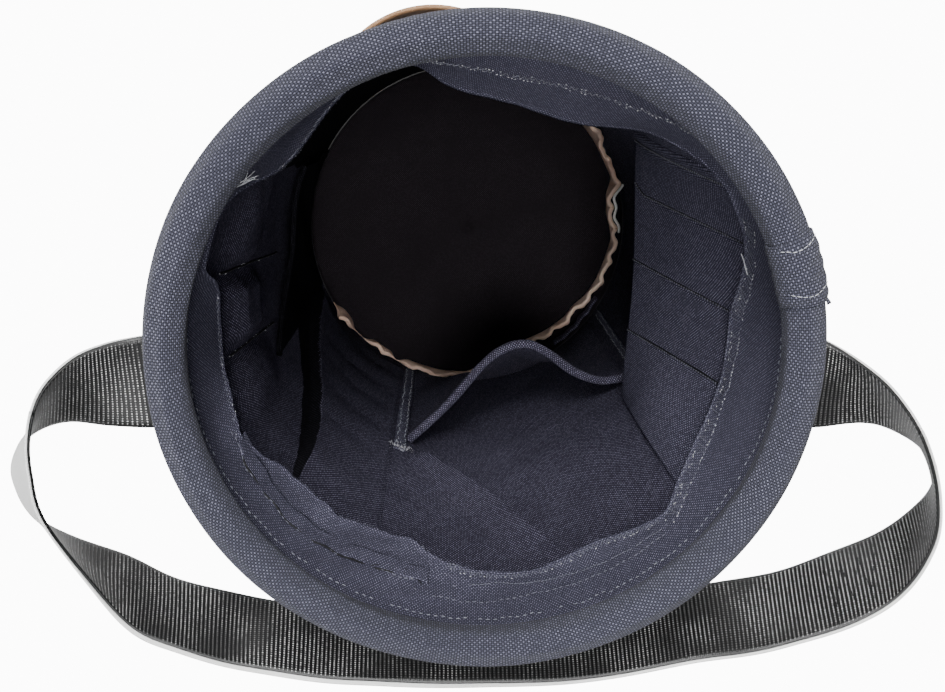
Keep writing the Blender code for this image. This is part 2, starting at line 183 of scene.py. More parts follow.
def cloth(name, P, UV, thickness, material, closed=False, flat=None, held="stretched", slot="canvas", **more):
    """A cloth piece with two faces. Rows run up, columns anticlockwise, and P is its outer face."""
    m, n = P.shape[:2]
    Q = P - grid_normals(P, closed) * np.broadcast_to(thickness, (m, n))[..., None]
    UV = UV.reshape(m, -1, 2)
    faces, uvs = [], []

    def quads(*corners):
        """Faces from four corners, each (rows, columns, side)."""
        i, j, side = (np.stack(np.broadcast_arrays(*c), -1) for c in zip(*corners))
        faces.append((side * m * n + i * n + j % n).reshape(-1, 4))
        uvs.append(UV[i, j].reshape(-1, 2))

    cols = n if closed else n - 1
    i, j = np.meshgrid(np.arange(m - 1), np.arange(cols), indexing="ij")
    quads((i, j, 0), (i, j + 1, 0), (i + 1, j + 1, 0), (i + 1, j, 0))
    quads((i, j, 1), (i + 1, j, 1), (i + 1, j + 1, 1), (i, j + 1, 1))
    j, top = np.arange(cols), m - 1
    quads((0, j + 1, 0), (0, j, 0), (0, j, 1), (0, j + 1, 1))
    quads((top, j, 0), (top, j + 1, 0), (top, j + 1, 1), (top, j, 1))
    if not closed:
        i, end = np.arange(m - 1), n - 1
        quads((i, 0, 0), (i + 1, 0, 0), (i + 1, 0, 1), (i, 0, 1))
        quads((i + 1, end, 0), (i, end, 0), (i, end, 1), (i + 1, end, 1))
    verts = np.concatenate([P.reshape(-1, 3), Q.reshape(-1, 3)])
    obj = mesh_object(name, verts, faces, material, np.concatenate(uvs))
    settle(obj, slot=slot, **more)
    return obj


def line_inner_face(obj, pick, *materials):
    """Gives the inner face of a cloth other materials. pick is the material's number, face by face."""
    for material in materials:
        obj.data.materials.append(material)
    index = np.zeros(len(obj.data.polygons), np.int32)
    index[pick.size : 2 * pick.size] = pick.ravel()
    obj.data.polygons.foreach_set("material_index", index)


def wall_uv(theta, z, r=0.14):
    """Arc length and height, for the weave."""
    theta = np.asarray(theta, float)
    z = np.asarray(z, float)
    return np.stack(np.broadcast_arrays(rad(theta) * r, z), -1)


def tube(path, radius, sides=8):
    """Vertices, quads and end caps of a round tube along a path."""
    p = np.asarray(path, float)
    n = len(p)
    T = unit(np.gradient(p, axis=0))
    ref = np.array([0.0, 0.0, 1.0])
    if abs(T[0] @ ref) > 0.9:
        ref = np.array([1.0, 0.0, 0.0])
    X = np.empty_like(p)
    x = unit(np.cross(T[0], ref))
    for i in range(n):
        x = unit(x - T[i] * (x @ T[i]))
        X[i] = x
    Y = np.cross(T, X)
    a = np.linspace(0, 2 * np.pi, sides, endpoint=False)
    r = np.full(n, float(radius))
    r[[0, -1]] *= 0.35
    ring = np.cos(a)[None, :, None] * X[:, None] + np.sin(a)[None, :, None] * Y[:, None]
    V = p[:, None] + r[:, None, None] * ring
    i, j = np.meshgrid(np.arange(n - 1), np.arange(sides), indexing="ij")
    k = (j + 1) % sides
    up = i * sides + sides
    F = np.stack([i * sides + j, i * sides + k, up + k, up + j], -1).reshape(-1, 4)
    around = np.arange(sides)
    return V.reshape(-1, 3), F, np.array([around[::-1], (n - 1) * sides + around])


def join_tubes(name, tubes, material, **more):
    verts, quads, caps, base = [], [], [], 0
    for V, F, C in tubes:
        verts.append(V)
        quads.append(F + base)
        caps.append(C + base)
        base += len(V)
    obj = mesh_object(name, np.concatenate(verts), [np.concatenate(quads), np.concatenate(caps)], material)
    settle(obj, **more)


def stitches(path, normal, pitch, length, radius, lift=0.6, zig=0.0, jitter=0.0, seed=1, skip=0.0):
    """Tubes for a row of stitches. zig is the width of a zigzag, and skip the share left out."""
    rng = np.random.default_rng(seed)
    p, nrm = resample(path, pitch, normal)
    nrm = unit(nrm)
    tan = unit(np.gradient(p, axis=0))
    side = unit(np.cross(nrm, tan))
    q = np.linspace(0, 1, 5)[:, None]
    arch = np.sin(np.pi * q) * radius * lift + radius * 0.15
    out = []
    for i in range(len(p) - 1):
        if rng.random() < skip:
            continue
        c = p[i] + side[i] * rng.normal() * jitter
        if zig:
            half = side[i] * zig / 2 * (1 if i % 2 == 0 else -1)
            a, b = c - half, c + tan[i] * pitch + half
        else:
            a, b = c - tan[i] * length / 2, c + tan[i] * length / 2
        out.append(tube(a + (b - a) * q + nrm[i] * arch, radius * (1 + 0.12 * rng.normal()), 5))
    return out


def wall_seam(r, theta, z, *args, out=1.0, face=None, **more):
    """Stitches on the round wall. out is -1 on its inside, and face is the angle that the row faces."""
    theta, z = np.broadcast_arrays(np.asarray(theta, float), np.asarray(z, float))
    return stitches(polar(r, theta, z), polar(out, theta if face is None else face, 0 * z), *args, **more)


def roll(name, path, radius, replaces, material=None):
    """A thin roll of cloth along a hem."""
    spacing, sides = 0.0008, 20
    p = resample(path, spacing)
    n = len(p)
    T = unit(np.gradient(p, axis=0))
    X = unit(np.cross(T, [0, 0, 1.0]))
    Y = np.cross(X, T)
    a = np.arange(sides) * 2 * np.pi / sides
    r = radius * (1 + 0.05 * np.sin(np.arange(n) * 0.11))
    P = p[:, None] + (np.cos(a)[:, None] * X[:, None] + np.sin(a)[:, None] * Y[:, None]) * r[:, None, None]
    i, j = np.meshgrid(np.arange(n - 1), np.arange(sides), indexing="ij")
    corners = ((i, j), (i + 1, j), (i + 1, j + 1), (i, j + 1))
    F = np.stack([u * sides + v % sides for u, v in corners], -1).reshape(-1, 4)
    uv = np.stack([np.stack([u * spacing, v * a[1] * radius], -1) for u, v in corners], 2).reshape(-1, 2)
    around = np.arange(sides)
    caps = np.array([around, ((n - 1) * sides + around)[::-1]])
    uv = np.concatenate([uv, np.zeros((2 * sides, 2))])
    obj = mesh_object(name, P.reshape(-1, 3), [F, caps], material or CLOTH_MAT, uv)
    settle(obj, replaces=replaces, slot="canvas")


def fibres(bases, directions, lengths, radius, curl, seed):
    """Tubes for short loose fibres, each bent its own way."""
    rng = np.random.default_rng(seed)
    out = []
    for b, d, L in zip(bases, directions, lengths):
        d = unit(d + rng.normal(0, 0.35, 3))
        bend = rng.normal(0, 1, 3)
        bend -= d * (bend @ d)
        t = np.linspace(0, 1, 5)[:, None]
        pts = b + d * L * t + unit(bend) * L * curl * rng.uniform(0.2, 1) * t**2
        out.append(tube(pts, radius * rng.uniform(0.7, 1.3), 4))
    return out


# ---------------------------------------------------------------- materials
class Mat:
    def __init__(self, name, rough=0.8, sheen=0.0, spec=0.3):
        self.m = bpy.data.materials.new(name)
        self.m.use_nodes = True
        self.nt = self.m.node_tree
        self.bsdf = self.nt.nodes["Principled BSDF"]
        self.bsdf.inputs["Roughness"].default_value = rough
        self.bsdf.inputs["Specular IOR Level"].default_value = spec
        self.bsdf.inputs["Sheen Weight"].default_value = sheen
        self.bsdf.inputs["Sheen Roughness"].default_value = 0.5

    def node(self, kind, **props):
        n = self.nt.nodes.new(kind)
        for k, v in props.items():
            setattr(n, k, v)
        return n

    def put(self, socket, value):
        if isinstance(value, bpy.types.NodeSocket):
            self.nt.links.new(value, socket)
        elif hasattr(value, "__len__") and len(value) == 3 and socket.type == "RGBA":
            socket.default_value = (*value, 1.0)
        else:
            socket.default_value = value

    def math(self, op, *values):
        n = self.node("ShaderNodeMath", operation=op)
        for s, v in zip(n.inputs, values):
            self.put(s, v)
        return n.outputs[0]

    def times(self, a, b):
        return self.math("MULTIPLY", a, b)

    def wave(self, length, coordinate):
        """A sine wave of that length, in metres, along a coordinate."""
        return self.math("SINE", self.times(coordinate, 2 * math.pi / length))

    def uv(self):
        n = self.node("ShaderNodeUVMap", uv_map="weave")
        s = self.node("ShaderNodeSeparateXYZ")
        self.put(s.inputs[0], n.outputs[0])
        return n.outputs[0], s.outputs[0], s.outputs[1]

    def obj_coords(self):
        return self.node("ShaderNodeTexCoord").outputs["Object"]

    def noise(self, vector, scale, detail=3.0, rough=0.5):
        n = self.node("ShaderNodeTexNoise")
        for key, value in (("Vector", vector), ("Scale", scale), ("Detail", detail), ("Roughness", rough)):
            self.put(n.inputs[key], value)
        return n.outputs["Fac"]

    def ramp(self, fac, a, b, lo=0.0, hi=1.0):
        n = self.node("ShaderNodeMapRange", clamp=True, interpolation_type="SMOOTHSTEP")
        for s, v in zip(n.inputs, (fac, a, b, lo, hi)):
            self.put(s, v)
        return n.outputs[0]

    def mix(self, fac, a, b):
        n = self.node("ShaderNodeMix", data_type="RGBA")
        for k, v in ((0, fac), (6, a), (7, b)):
            self.put(n.inputs[k], v)
        return n.outputs[2]

    def colour(self, socket):
        self.put(self.bsdf.inputs["Base Color"], socket)

    def bump(self, height, distance, strength=1.0, chain=None):
        n = self.node("ShaderNodeBump")
        n.inputs["Strength"].default_value = strength
        n.inputs["Distance"].default_value = distance
        self.put(n.inputs["Height"], height)
        if chain is not None:
            self.put(n.inputs["Normal"], chain)
        return n.outputs[0]

    def finish(self, normal):
        self.put(self.bsdf.inputs["Normal"], normal)
        return self.m


def canvas(name, cells, dark, mid, light, dots=1.0, relief=0.00028, sheen=0.1, wear=0.3, spec=0.15):
    """Plain-woven canvas: pale floats of yarn in a chequer of cells, over darker threads."""
    m = Mat(name, 0.85, sheen, spec)
    uv, u, v = m.uv()
    wobble = m.times(m.math("SUBTRACT", m.noise(uv, 160.0, 2.0), 0.5), 0.35)
    across = m.math("ADD", m.math("DIVIDE", u, cells[0]), wobble)
    along = m.math("ADD", m.math("DIVIDE", v, cells[1]), wobble)
    h = m.times(m.wave(2.0, across), m.wave(2.0, along))
    cell = m.node("ShaderNodeCombineXYZ")
    m.put(cell.inputs[0], m.math("FLOOR", across))
    m.put(cell.inputs[1], m.math("FLOOR", along))
    pick = m.node("ShaderNodeTexWhiteNoise", noise_dimensions="2D")
    m.put(pick.inputs["Vector"], cell.outputs[0])
    tops = m.ramp(h, 0.05, 0.85)
    pits = m.ramp(m.math("ABSOLUTE", h), 0.0, 0.45)
    big = m.noise(m.obj_coords(), 16.0, 4.0, 0.6)
    worn = m.ramp(big, 0.3, 0.7, 1.0 - wear, 1.0)
    strength = m.times(m.ramp(pick.outputs["Value"], 0.0, 1.0, dots * 0.35, dots), worn)
    col = m.mix(m.times(tops, strength), m.mix(pits, dark, mid), light)
    fuzz = m.noise(uv, 1500.0, 3.0, 0.7)
    m.colour(m.mix(m.ramp(fuzz, 0.6, 0.85, 0.0, 0.3), col, light))
    height = m.math("ADD", m.ramp(m.math("ABSOLUTE", h), 0.0, 0.8), m.times(tops, 0.5))
    waves = m.bump(m.noise(m.obj_coords(), 60.0, 3.0), 0.0006, 0.35)
    return m.finish(m.bump(height, relief, 1.0, waves))


def webbing(name, dark, mid, light, width):
    """Nylon webbing: ribs across it, broken by the lengthwise threads, with dark selvedges. The pale dashes
    on the rib knots, in patches along the strap, are painted highlight.
    """
    m = Mat(name, 0.42, 0.1, 0.5)
    uv, u, v = m.uv()
    rib, warp = m.wave(0.0023, u), m.wave(0.0014, v)
    ribs = m.ramp(rib, -0.2, 0.9)
    knots = m.times(ribs, m.ramp(warp, -0.8, 0.5, 0.2, 1.0))
    edge = m.math("ABSOLUTE", m.math("SUBTRACT", v, width / 2))
    inside = m.ramp(edge, width / 2 - 0.0016, width / 2 - 0.0006, 1.0, 0.0)
    pick = m.noise(uv, 520.0, 2.0, 0.7)
    highlight_patches = m.ramp(m.noise(m.obj_coords(), 26.0, 2.0), 0.36, 0.58, 0.12, 1.0)
    # painted highlight: the pale colour on the rib knots, patchy along the strap
    painted_highlight = m.times(m.ramp(knots, 0.6, 0.97), m.ramp(pick, 0.35, 0.6, 0.12, 1.0))
    painted_highlight = m.times(m.times(painted_highlight, highlight_patches), inside)
    m.colour(m.mix(painted_highlight, m.mix(ribs, dark, mid), light))
    return m.finish(m.bump(m.times(knots, inside), 0.0005, 1.0))


def tape(name, col_a, col_b):
    """Pale cotton tape with a fine even weave."""
    m = Mat(name, 0.75, 0.1, 0.2)
    _, u, v = m.uv()
    n = m.noise(m.obj_coords(), 30.0, 4.0)
    m.colour(m.mix(m.ramp(n, 0.35, 0.7), col_a, col_b))
    return m.finish(m.bump(m.times(m.wave(0.0014, u), m.wave(0.0014, v)), 0.00012, 0.8))


def leather(name, base, dark, light, grain=420.0, rough=0.55):
    """Leather with clouded colour and pores."""
    m = Mat(name, rough, 0.0, 0.4)
    co = m.obj_coords()
    big = m.noise(co, 22.0, 5.0, 0.6)
    fine = m.noise(co, grain, 3.0, 0.6)
    vor = m.node("ShaderNodeTexVoronoi", feature="DISTANCE_TO_EDGE")
    m.put(vor.inputs["Vector"], co)
    vor.inputs["Scale"].default_value = grain * 1.6
    pores = m.ramp(vor.outputs["Distance"], 0.0, 0.12)
    col = m.mix(m.ramp(big, 0.3, 0.7), dark, base)
    col = m.mix(m.ramp(fine, 0.5, 0.8, 0.0, 0.5), col, light)
    m.colour(m.mix(m.times(m.math("SUBTRACT", 1.0, pores), 0.35), col, dark))
    m.put(m.bsdf.inputs["Roughness"], m.ramp(big, 0.2, 0.8, rough - 0.1, rough + 0.12))
    height = m.math("ADD", m.times(pores, 0.6), fine)
    return m.finish(m.bump(height, 0.0003, 0.6))


def plain(name, col, rough=0.6, metallic=0.0, scale=300.0, relief=0.0001, sheen=0.0):
    """One colour, a little uneven."""
    m = Mat(name, rough, sheen, 0.4)
    n = m.noise(m.obj_coords(), scale, 4.0, 0.6)
    m.colour(m.mix(m.ramp(n, 0.3, 0.75), [c * 0.8 for c in col], [min(1.0, c * 1.18) for c in col]))
    m.bsdf.inputs["Metallic"].default_value = metallic
    return m.finish(m.bump(n, relief, 0.7))


# The weave's cells, in metres: they lie along the rim and up the walls
RIM_CELLS = (0.0013, 0.00094)
WALL_CELLS = (0.00094, 0.0013)
MATT = {"relief": 0.00022, "spec": 0.08, "sheen": 0.0}
RIM_MAT = canvas(
    "rim_canvas_look", RIM_CELLS, (0.014, 0.0142, 0.0205), (0.044, 0.045, 0.066), (0.215, 0.217, 0.3)
)
# the facing is a lighter copy of the inner canvas: partly painted light, for the lit band over the wall in
# shade
FACING_MAT = canvas(
    "facing_canvas_look", WALL_CELLS, (0.016, 0.0158, 0.0245), (0.079, 0.0775, 0.114),
    (0.34, 0.335, 0.46), 0.85, **MATT
)
CLOTH_MAT = canvas(
    "inner_canvas_look", WALL_CELLS, (0.0065, 0.0058, 0.0098), (0.037, 0.0342, 0.055),
    (0.35, 0.335, 0.47), 0.9, **MATT
)
PANEL_MAT = canvas(
    "panel_canvas_look", WALL_CELLS, (0.008, 0.0076, 0.0124), (0.051, 0.049, 0.076),
    (0.37, 0.36, 0.5), 0.9, **MATT
)
# near-black canvas: painted shade, put where the inside lies in shadow
PAINTED_SHADE_MAT = canvas(
    "painted_shade_look", WALL_CELLS, (0.0008, 0.0008, 0.0012), (0.0036, 0.0034, 0.005), (0.05, 0.048, 0.066),
    dots=0.8, relief=0.0002, sheen=0.0, spec=0.06,
)
OUTER_MAT = canvas(
    "outer_canvas_look", WALL_CELLS, (0.007, 0.008, 0.012), (0.03, 0.032, 0.046), (0.24, 0.245, 0.32)
)
FLOOR_MAT = canvas(
    "lining_look", (0.0009, 0.0009), (0.0034, 0.0023, 0.0032), (0.0115, 0.0086, 0.0115), (0.058, 0.048, 0.06),
    dots=0.6, relief=0.0001, sheen=0.0, wear=0.6,
)
WEB_WIDTH = 0.048
# the pale third colour is painted highlight on the black webbing
WEB_MAT = webbing(
    "webbing_look", (0.0006, 0.0006, 0.0008), (0.0085, 0.0085, 0.009), (0.8, 0.8, 0.8), WEB_WIDTH
)
TAPE_MAT = tape("pale_tape_look", (0.9, 0.9, 0.89), (0.97, 0.97, 0.96))
LEATHER_MAT = leather("tan_leather_look", (0.5, 0.29, 0.155), (0.33, 0.17, 0.085), (0.66, 0.44, 0.27))
RAW_LEATHER = leather(
    "raw_leather_look", (1.0, 0.76, 0.62), (0.86, 0.58, 0.44), (1.0, 0.93, 0.86), 700.0, 0.7
)
# near-white leather: painted highlight on the leather edge
PAINTED_HIGHLIGHT_LEATHER = leather("painted_highlight_leather_look", (1.0, 1.0, 0.98), (0.97, 0.93, 0.88), (1.0, 1.0, 1.0), 900.0, 0.6)
THREAD = (0.0, 2500.0, 0.00005)
THREAD_GREY = plain("grey_thread", (0.14, 0.145, 0.19), 0.7, *THREAD, 0.2)
THREAD_LIGHT = plain("light_thread", (0.3, 0.32, 0.38), 0.7, *THREAD, 0.3)
THREAD_WHITE = plain("white_thread", (0.5, 0.51, 0.55), 0.7, *THREAD, 0.3)
THREAD_DARK = plain("dark_thread", (0.004, 0.004, 0.006), 0.6, *THREAD)
PLASTIC_MAT = plain("black_plastic", (0.02, 0.02, 0.02), 0.45)
STEEL_MAT = plain("rivet_steel_look", (0.5, 0.48, 0.45), 0.32, 1.0, 500.0, 0.00006)

# ---------------------------------------------------------------- shapes shared by several pieces
SAG_TABLE = table((
    (-180, 0.0045), (-166, 0.0055), (-150, 0.0068), (-120, 0.0072), (-108, 0.007), (-98, 0.0035),
    (-80, 0.0018), (-60, 0.0015), (-40, 0.0014), (-10, 0.0014), (10, 0.001), (30, 0.0006), (40, 0.001),
    (46, 0.004), (52, 0.0092), (57, 0.0145), (63, 0.0192), (70, 0.0222), (78, 0.0232), (85, 0.0222),
    (93, 0.018), (100, 0.011), (103, 0.004), (106, 0.0), (113, 0.0005), (120, 0.003), (137, 0.007),
    (143, 0.0062), (148, 0.001), (164, 0.0005), (168, 0.003),
))
FACE_TOP = 0.4125
# Heights of the facing's raw edge, and of the rows of stitches above it
Z_LOW = table((
    (-180, 0.358), (-166, 0.3715), (-158, 0.3795), (-150, 0.3655), (-144, 0.355), (-135, 0.3535),
    (-127, 0.3595), (-118, 0.3485), (-107, 0.3465), (-99, 0.3615), (-92, 0.365), (-77, 0.3665),
    (-61, 0.3615), (-50, 0.369), (-44, 0.375), (-38, 0.361), (-29, 0.349), (-19, 0.34), (-8, 0.3375),
    (3, 0.34), (10, 0.352), (14, 0.359), (24, 0.378), (35, 0.393), (40, 0.38), (46, 0.352), (54, 0.345),
    (76, 0.344), (90, 0.345), (98, 0.348), (101, 0.364), (104, 0.402), (112, 0.401), (116, 0.38),
    (121, 0.367), (131, 0.348), (141, 0.34), (144, 0.35), (148, 0.398), (163, 0.4), (167, 0.374),
    (172, 0.362),
))
FLAP_ROW = ((44, 0.404), (52, 0.397), (60, 0.389), (76, 0.385), (90, 0.386), (99, 0.392), (104, 0.4))
LEFT_ROW = (
    (-160, 0.3835), (-152, 0.3862), (-143, 0.388), (-134, 0.39),
    (-125, 0.3875), (-117, 0.383), (-104, 0.3838),
)
PALE_ROW = ((-96, 0.3795), (-86, 0.3757), (-76, 0.3792), (-60, 0.382), (-44, 0.3847))
LOWER_ROW = ((-105, 0.39), (-93, 0.3934), (-79, 0.3894), (-63, 0.3904), (-45, 0.3904))


def facing_point(theta, z, out=0.0):
    """The facing's inner face. out moves the point towards the bucket's middle."""
    depth = np.clip((0.411 - z) / 0.066, 0, 1.3)
    r = 0.1382 - SAG_TABLE(theta) * depth**0.75
    curl = 0.0022 * (0.5 + 0.5 * np.sin(rad(theta) * 11 + 1.3)) * step(0.02 - (z - Z_LOW(theta)), 0.0, 0.02)
    crumple = 0.0009 * np.sin(theta * 0.62 + z * 150) * np.sin(theta * 0.23 - z * 90)
    crumple = crumple * step(0.411 - z, 0.004, 0.02)
    r = r - curl - ripple(theta, z, 11, 0.0006) - crumple * bump(theta, -125, 70)
    return polar(r - out, theta, z)


def facing_normal(theta, z):
    e = 1e-4
    du = facing_point(theta + 0.1, z) - facing_point(theta - 0.1, z)
    dv = facing_point(theta, z + e) - facing_point(theta, z - e)
    return -unit(np.cross(du, dv))


# ---------------------------------------------------------------- rim
def roll_point(phi, theta, out=0.0):
    """A place on the rim's roll. phi is the angle round the roll's own section."""
    r = ROLL + out
    return polar(ROLL_C + r * np.cos(rad(phi)), theta, ROLL_Z + r * np.sin(rad(phi)))


def roll_uv(theta, phi):
    return np.stack([rad(theta) * ROLL_C, -rad(phi) * ROLL], -1)


def make_rim():
    th = np.arange(1080) / 3
    phi = np.linspace(-58, 238, 40)
    T, F = np.meshgrid(th, phi)
    P = roll_point(F, T, 0.00045 * ripple(T, F * 0.0015, 3, 1.0, 14) - 0.0002)
    P[..., 2] -= 0.0006 * np.clip(-np.cos(rad(F)), 0, 1)
    UV = roll_uv(*np.meshgrid(np.append(th, 360.0), phi))
    rim = {"slot": "rim_canvas"}
    cloth("rim_roll", P, UV, 0.0012, RIM_MAT, True, (0.0468, 0.898), replaces=("rim_sleeve",), **rim)

    # the lap where the roll's ends join, its two rows of stitches, and a corner of its raw edge
    first, last = 12.7, 24.8
    T, F = np.meshgrid(np.linspace(first, last, 60), np.linspace(-48, 200, 44))
    edge = np.minimum(T - first, last - T)
    puff = 0.0008 + 0.0007 * step(edge, 0, 1.6) + 0.0002 * np.sin(T * 2.3 + F * 0.05)
    P = roll_point(F, T, puff)
    lap = {"flat": (0.0482, 0.0302), "replaces": ("rim_sleeve_lap",)}
    cloth("rim_lap_cloth", P, roll_uv(T, F), 0.0009, RIM_MAT, **lap, **rim)
    rows = []
    for theta, seed in ((first + 2.4, 5), (last - 1.2, 6)):
        f = np.linspace(26, 140, 60)
        path = roll_point(f, theta + 0.5 * np.sin(rad(f) * 3), 0.0015)
        middle = polar(ROLL_C, theta, ROLL_Z)
        rows += stitches(path, path - middle, 0.0026, 0.0021, 0.00022, jitter=0.0001, seed=seed)
    join_tubes("rim_lap_stitches", rows, THREAD_WHITE)
    T, F = np.meshgrid(np.linspace(first - 0.9, first + 0.3, 8), np.linspace(4, 30, 16))
    P = roll_point(F, T, 0.0009 + 0.0012 * step(first + 0.3 - T, 0, 1.2) * hill(F, 16, 14))
    cloth("rim_lap_corner", P, roll_uv(T, F), 0.0007, RIM_MAT, slot=None)


# ---------------------------------------------------------------- wall
# Radii of what lies on the wall's outside, and of the stitches in it
OUTSIDE = 0.1438
STITCHED = 0.1441
CREASE = [(251.6, 0.1986), (260.3, 0.2176), (271.6, 0.2549), (281.2, 0.3036), (288.5, 0.3436), (297.0, 0.385)]
LEFT_SEAMS = (((169.0, 0.342), (177.0, 0.17)), ((189.0, 0.33), (193.5, 0.215)))


def seam_angle(k, z):
    (a0, z0), (a1, z1) = LEFT_SEAMS[k]
    return a0 + (a1 - a0) * (z0 - z) / (z0 - z1)


def wall_inner_r(theta, z):
    theta = np.asarray(theta, float) % 360.0
    z = np.asarray(z, float)
    r = WALL_IN - 0.0002 - np.abs(ripple(theta, z, 21, 0.0008))
    # the left wall leans in between the seams of the outer pockets
    down = 0.352 - z
    lean = step(down, 0.0, 0.045) * (1 - step(down, 0.07, 0.12))
    one, two = seam_angle(0, z), seam_angle(1, z)
    between = step(theta, one, one + 5.0) * (1 - step(theta, two - 5.5, two))
    above = step(theta, 146, 158) * (1 - step(theta, one - 5.0, one))
    below = step(theta, two, two + 4.0) * (1 - step(theta, 200, 208))
    return r - lean * (0.0095 * between + 0.0065 * above + 0.005 * below)


def make_wall():
    n = 720
    th = np.arange(n) * 360.0 / n
    zs = np.linspace(0.0036, 0.4146, 200)
    T, Z = np.meshgrid(th, zs)
    Pout = polar(WALL_OUT + 0.0 * T, T, Z)
    thickness = np.linalg.norm(Pout - polar(wall_inner_r(T, Z), T, Z), axis=-1)
    UV = wall_uv(*np.meshgrid(np.append(th, 360.0), zs))
    wall = {"flat": (0.892, 0.408), "replaces": ("outer_wall",)}
    obj = cloth("canvas_wall", Pout, UV, thickness, OUTER_MAT, True, **wall)
    # the back left part of the inside gets the near-black canvas: painted shade
    dark = (T > 97.0) & (T < 151.0 - 9.0 * step(Z, 0.15, 0.36) + 0.8 * np.sin(Z * 90))
    line_inner_face(obj, 1 + dark[:-1], CLOTH_MAT, PAINTED_SHADE_MAT)

    # a crease up the front wall from the pocket's corner: the cloth above it laps over the cloth below
    line = catmull(CREASE, 30)
    arc = np.stack([rad(line[:, 0]) * WALL_IN, line[:, 1]], 1)
    along = unit(np.gradient(arc, axis=0))
    q = (np.linspace(0, 1, 26) ** 1.5)[:, None]
    T = np.degrees((arc[None, :, 0] - along[None, :, 1] * 0.03 * q) / WALL_IN)
    Z = arc[None, :, 1] + along[None, :, 0] * 0.03 * q
    t = np.linspace(0, 1, len(line))[None]
    lap = 0.0052 * (1 - q) ** 1.8 * step(t, 0.0, 0.12) * (1 - step(t, 0.55, 1.0))
    P = polar(wall_inner_r(T, Z) + 0.0004, T, Z)
    cloth("wall_crease", P, wall_uv(T, Z), lap + 0.00045 - 0.0004 * q, CLOTH_MAT)

    T, Z = np.meshgrid(np.linspace(132.0, 144.0, 24), np.linspace(0.063, 0.405, 60))
    P = polar(OUTSIDE + 0.0002 * np.sin(Z * 90 + T), T, Z)
    tape = {"flat": (0.0314, 0.342), "replaces": ("wall_seam_tape",)}
    cloth("seam_tape_cloth", P, wall_uv(T, Z), 0.0013, OUTER_MAT, **tape)
    rows = []
    for t in (133.2, 142.8):
        rows += wall_seam(STITCHED, t, np.linspace(0.066, 0.402, 80), 0.0034, 0.0026, 0.0003, seed=int(t))
    join_tubes("seam_tape_stitches", rows, THREAD_LIGHT)


# ---------------------------------------------------------------- facing
def make_facing():
    n, m = 1080, 44
    th = np.arange(n) * 360.0 / n
    s = np.linspace(0, 1, m)
    T, S = np.meshgrid(th, s)
    rng = np.random.default_rng(4)
    raw = 1 - step(th, 36, 44) * (1 - step(th, 99, 104))
    nibble = rng.normal(0, 0.0003, n) * raw
    low = Z_LOW(T) + nibble[None, :] * (1 - S)
    Z = low + (FACE_TOP - low) * S
    P = facing_point(T, Z)
    # the outer face is the one against the wall, and stays inside it
    most = 0.1397
    Pout = P + grid_normals(P, True) * 0.0011
    rr = np.linalg.norm(Pout[..., :2], axis=-1)
    Pout = np.where((rr > most)[..., None], polar(most, T, Z), Pout)
    U, V = np.meshgrid(np.append(th, 360.0), s)
    UV = wall_uv(U, Z_LOW(U) + (FACE_TOP - Z_LOW(U)) * V)
    # the raw edge curls into a soft lip
    lip = 0.0011 + 0.0012 * np.exp(-(((Z - low) / 0.0022) ** 2))
    facing = {"flat": (0.878, 0.052), "replaces": ("inner_facing",)}
    cloth("facing_cloth", Pout, UV, lip, FACING_MAT, True, **facing)
    make_facing_stitches()

    # the band doubles over itself at the front left and throws a fold
    line = catmull(FOLD, 24)
    q = (np.linspace(0, 1, 22) ** 1.4)[:, None]
    T = line[None, :, 0] + 0 * q
    Z = line[None, :, 1] - 0.012 * q
    t = np.linspace(0, 1, len(line))[None]
    lap = 0.0055 * (1 - q) ** 1.3 * step(t, 0.0, 0.15) * (1 - step(t, 0.75, 1.0))
    cloth("facing_fold", facing_point(T, Z, 0.0009), wall_uv(T, Z), lap + 0.0004 - 0.00035 * q, FACING_MAT)
    # a dark tube along the fold's crease: painted shadow line
    crease = facing_point(line[8:-16, 0], line[8:-16, 1] + 0.0006, 0.0004)
    join_tubes("facing_crease_painted_shadow", [tube(crease, 0.0006, 6)], THREAD_DARK)

    # frayed threads along the raw edge
    rng = np.random.default_rng(31)
    bases, dirs, lens = [], [], []
    for lo, hi, count, scale in FRAYED:
        t = rng.uniform(lo, hi, count)
        zl = Z_LOW(t)
        bases.append(facing_point(t, zl + 0.0005))
        down = facing_point(t, zl - 0.001) - facing_point(t, zl + 0.001)
        inward = facing_normal(t, zl + 0.001) * rng.uniform(-0.2, 0.9, count)[:, None]
        dirs.append(unit(unit(down) + inward + rng.normal(0, 0.4, (count, 3))))
        lens.append(rng.uniform(0.001, 0.0042, count) * scale)
    frayed = fibres(*map(np.concatenate, (bases, dirs, lens)), 0.00011, 0.5, 5)
    join_tubes("frayed_threads", frayed, THREAD_GREY)


# Stretches of frayed edge: from, to, how many threads, how long
FRAYED = ((116, 145, 700, 0.5), (168, 200, 200, 0.4), (-156, -98, 160, 0.35), (-98, 36, 300, 0.3))
FOLD = [(-158, 0.3835), (-148, 0.385), (-136, 0.3885), (-125, 0.3868), (-114, 0.3822), (-102, 0.3815)]
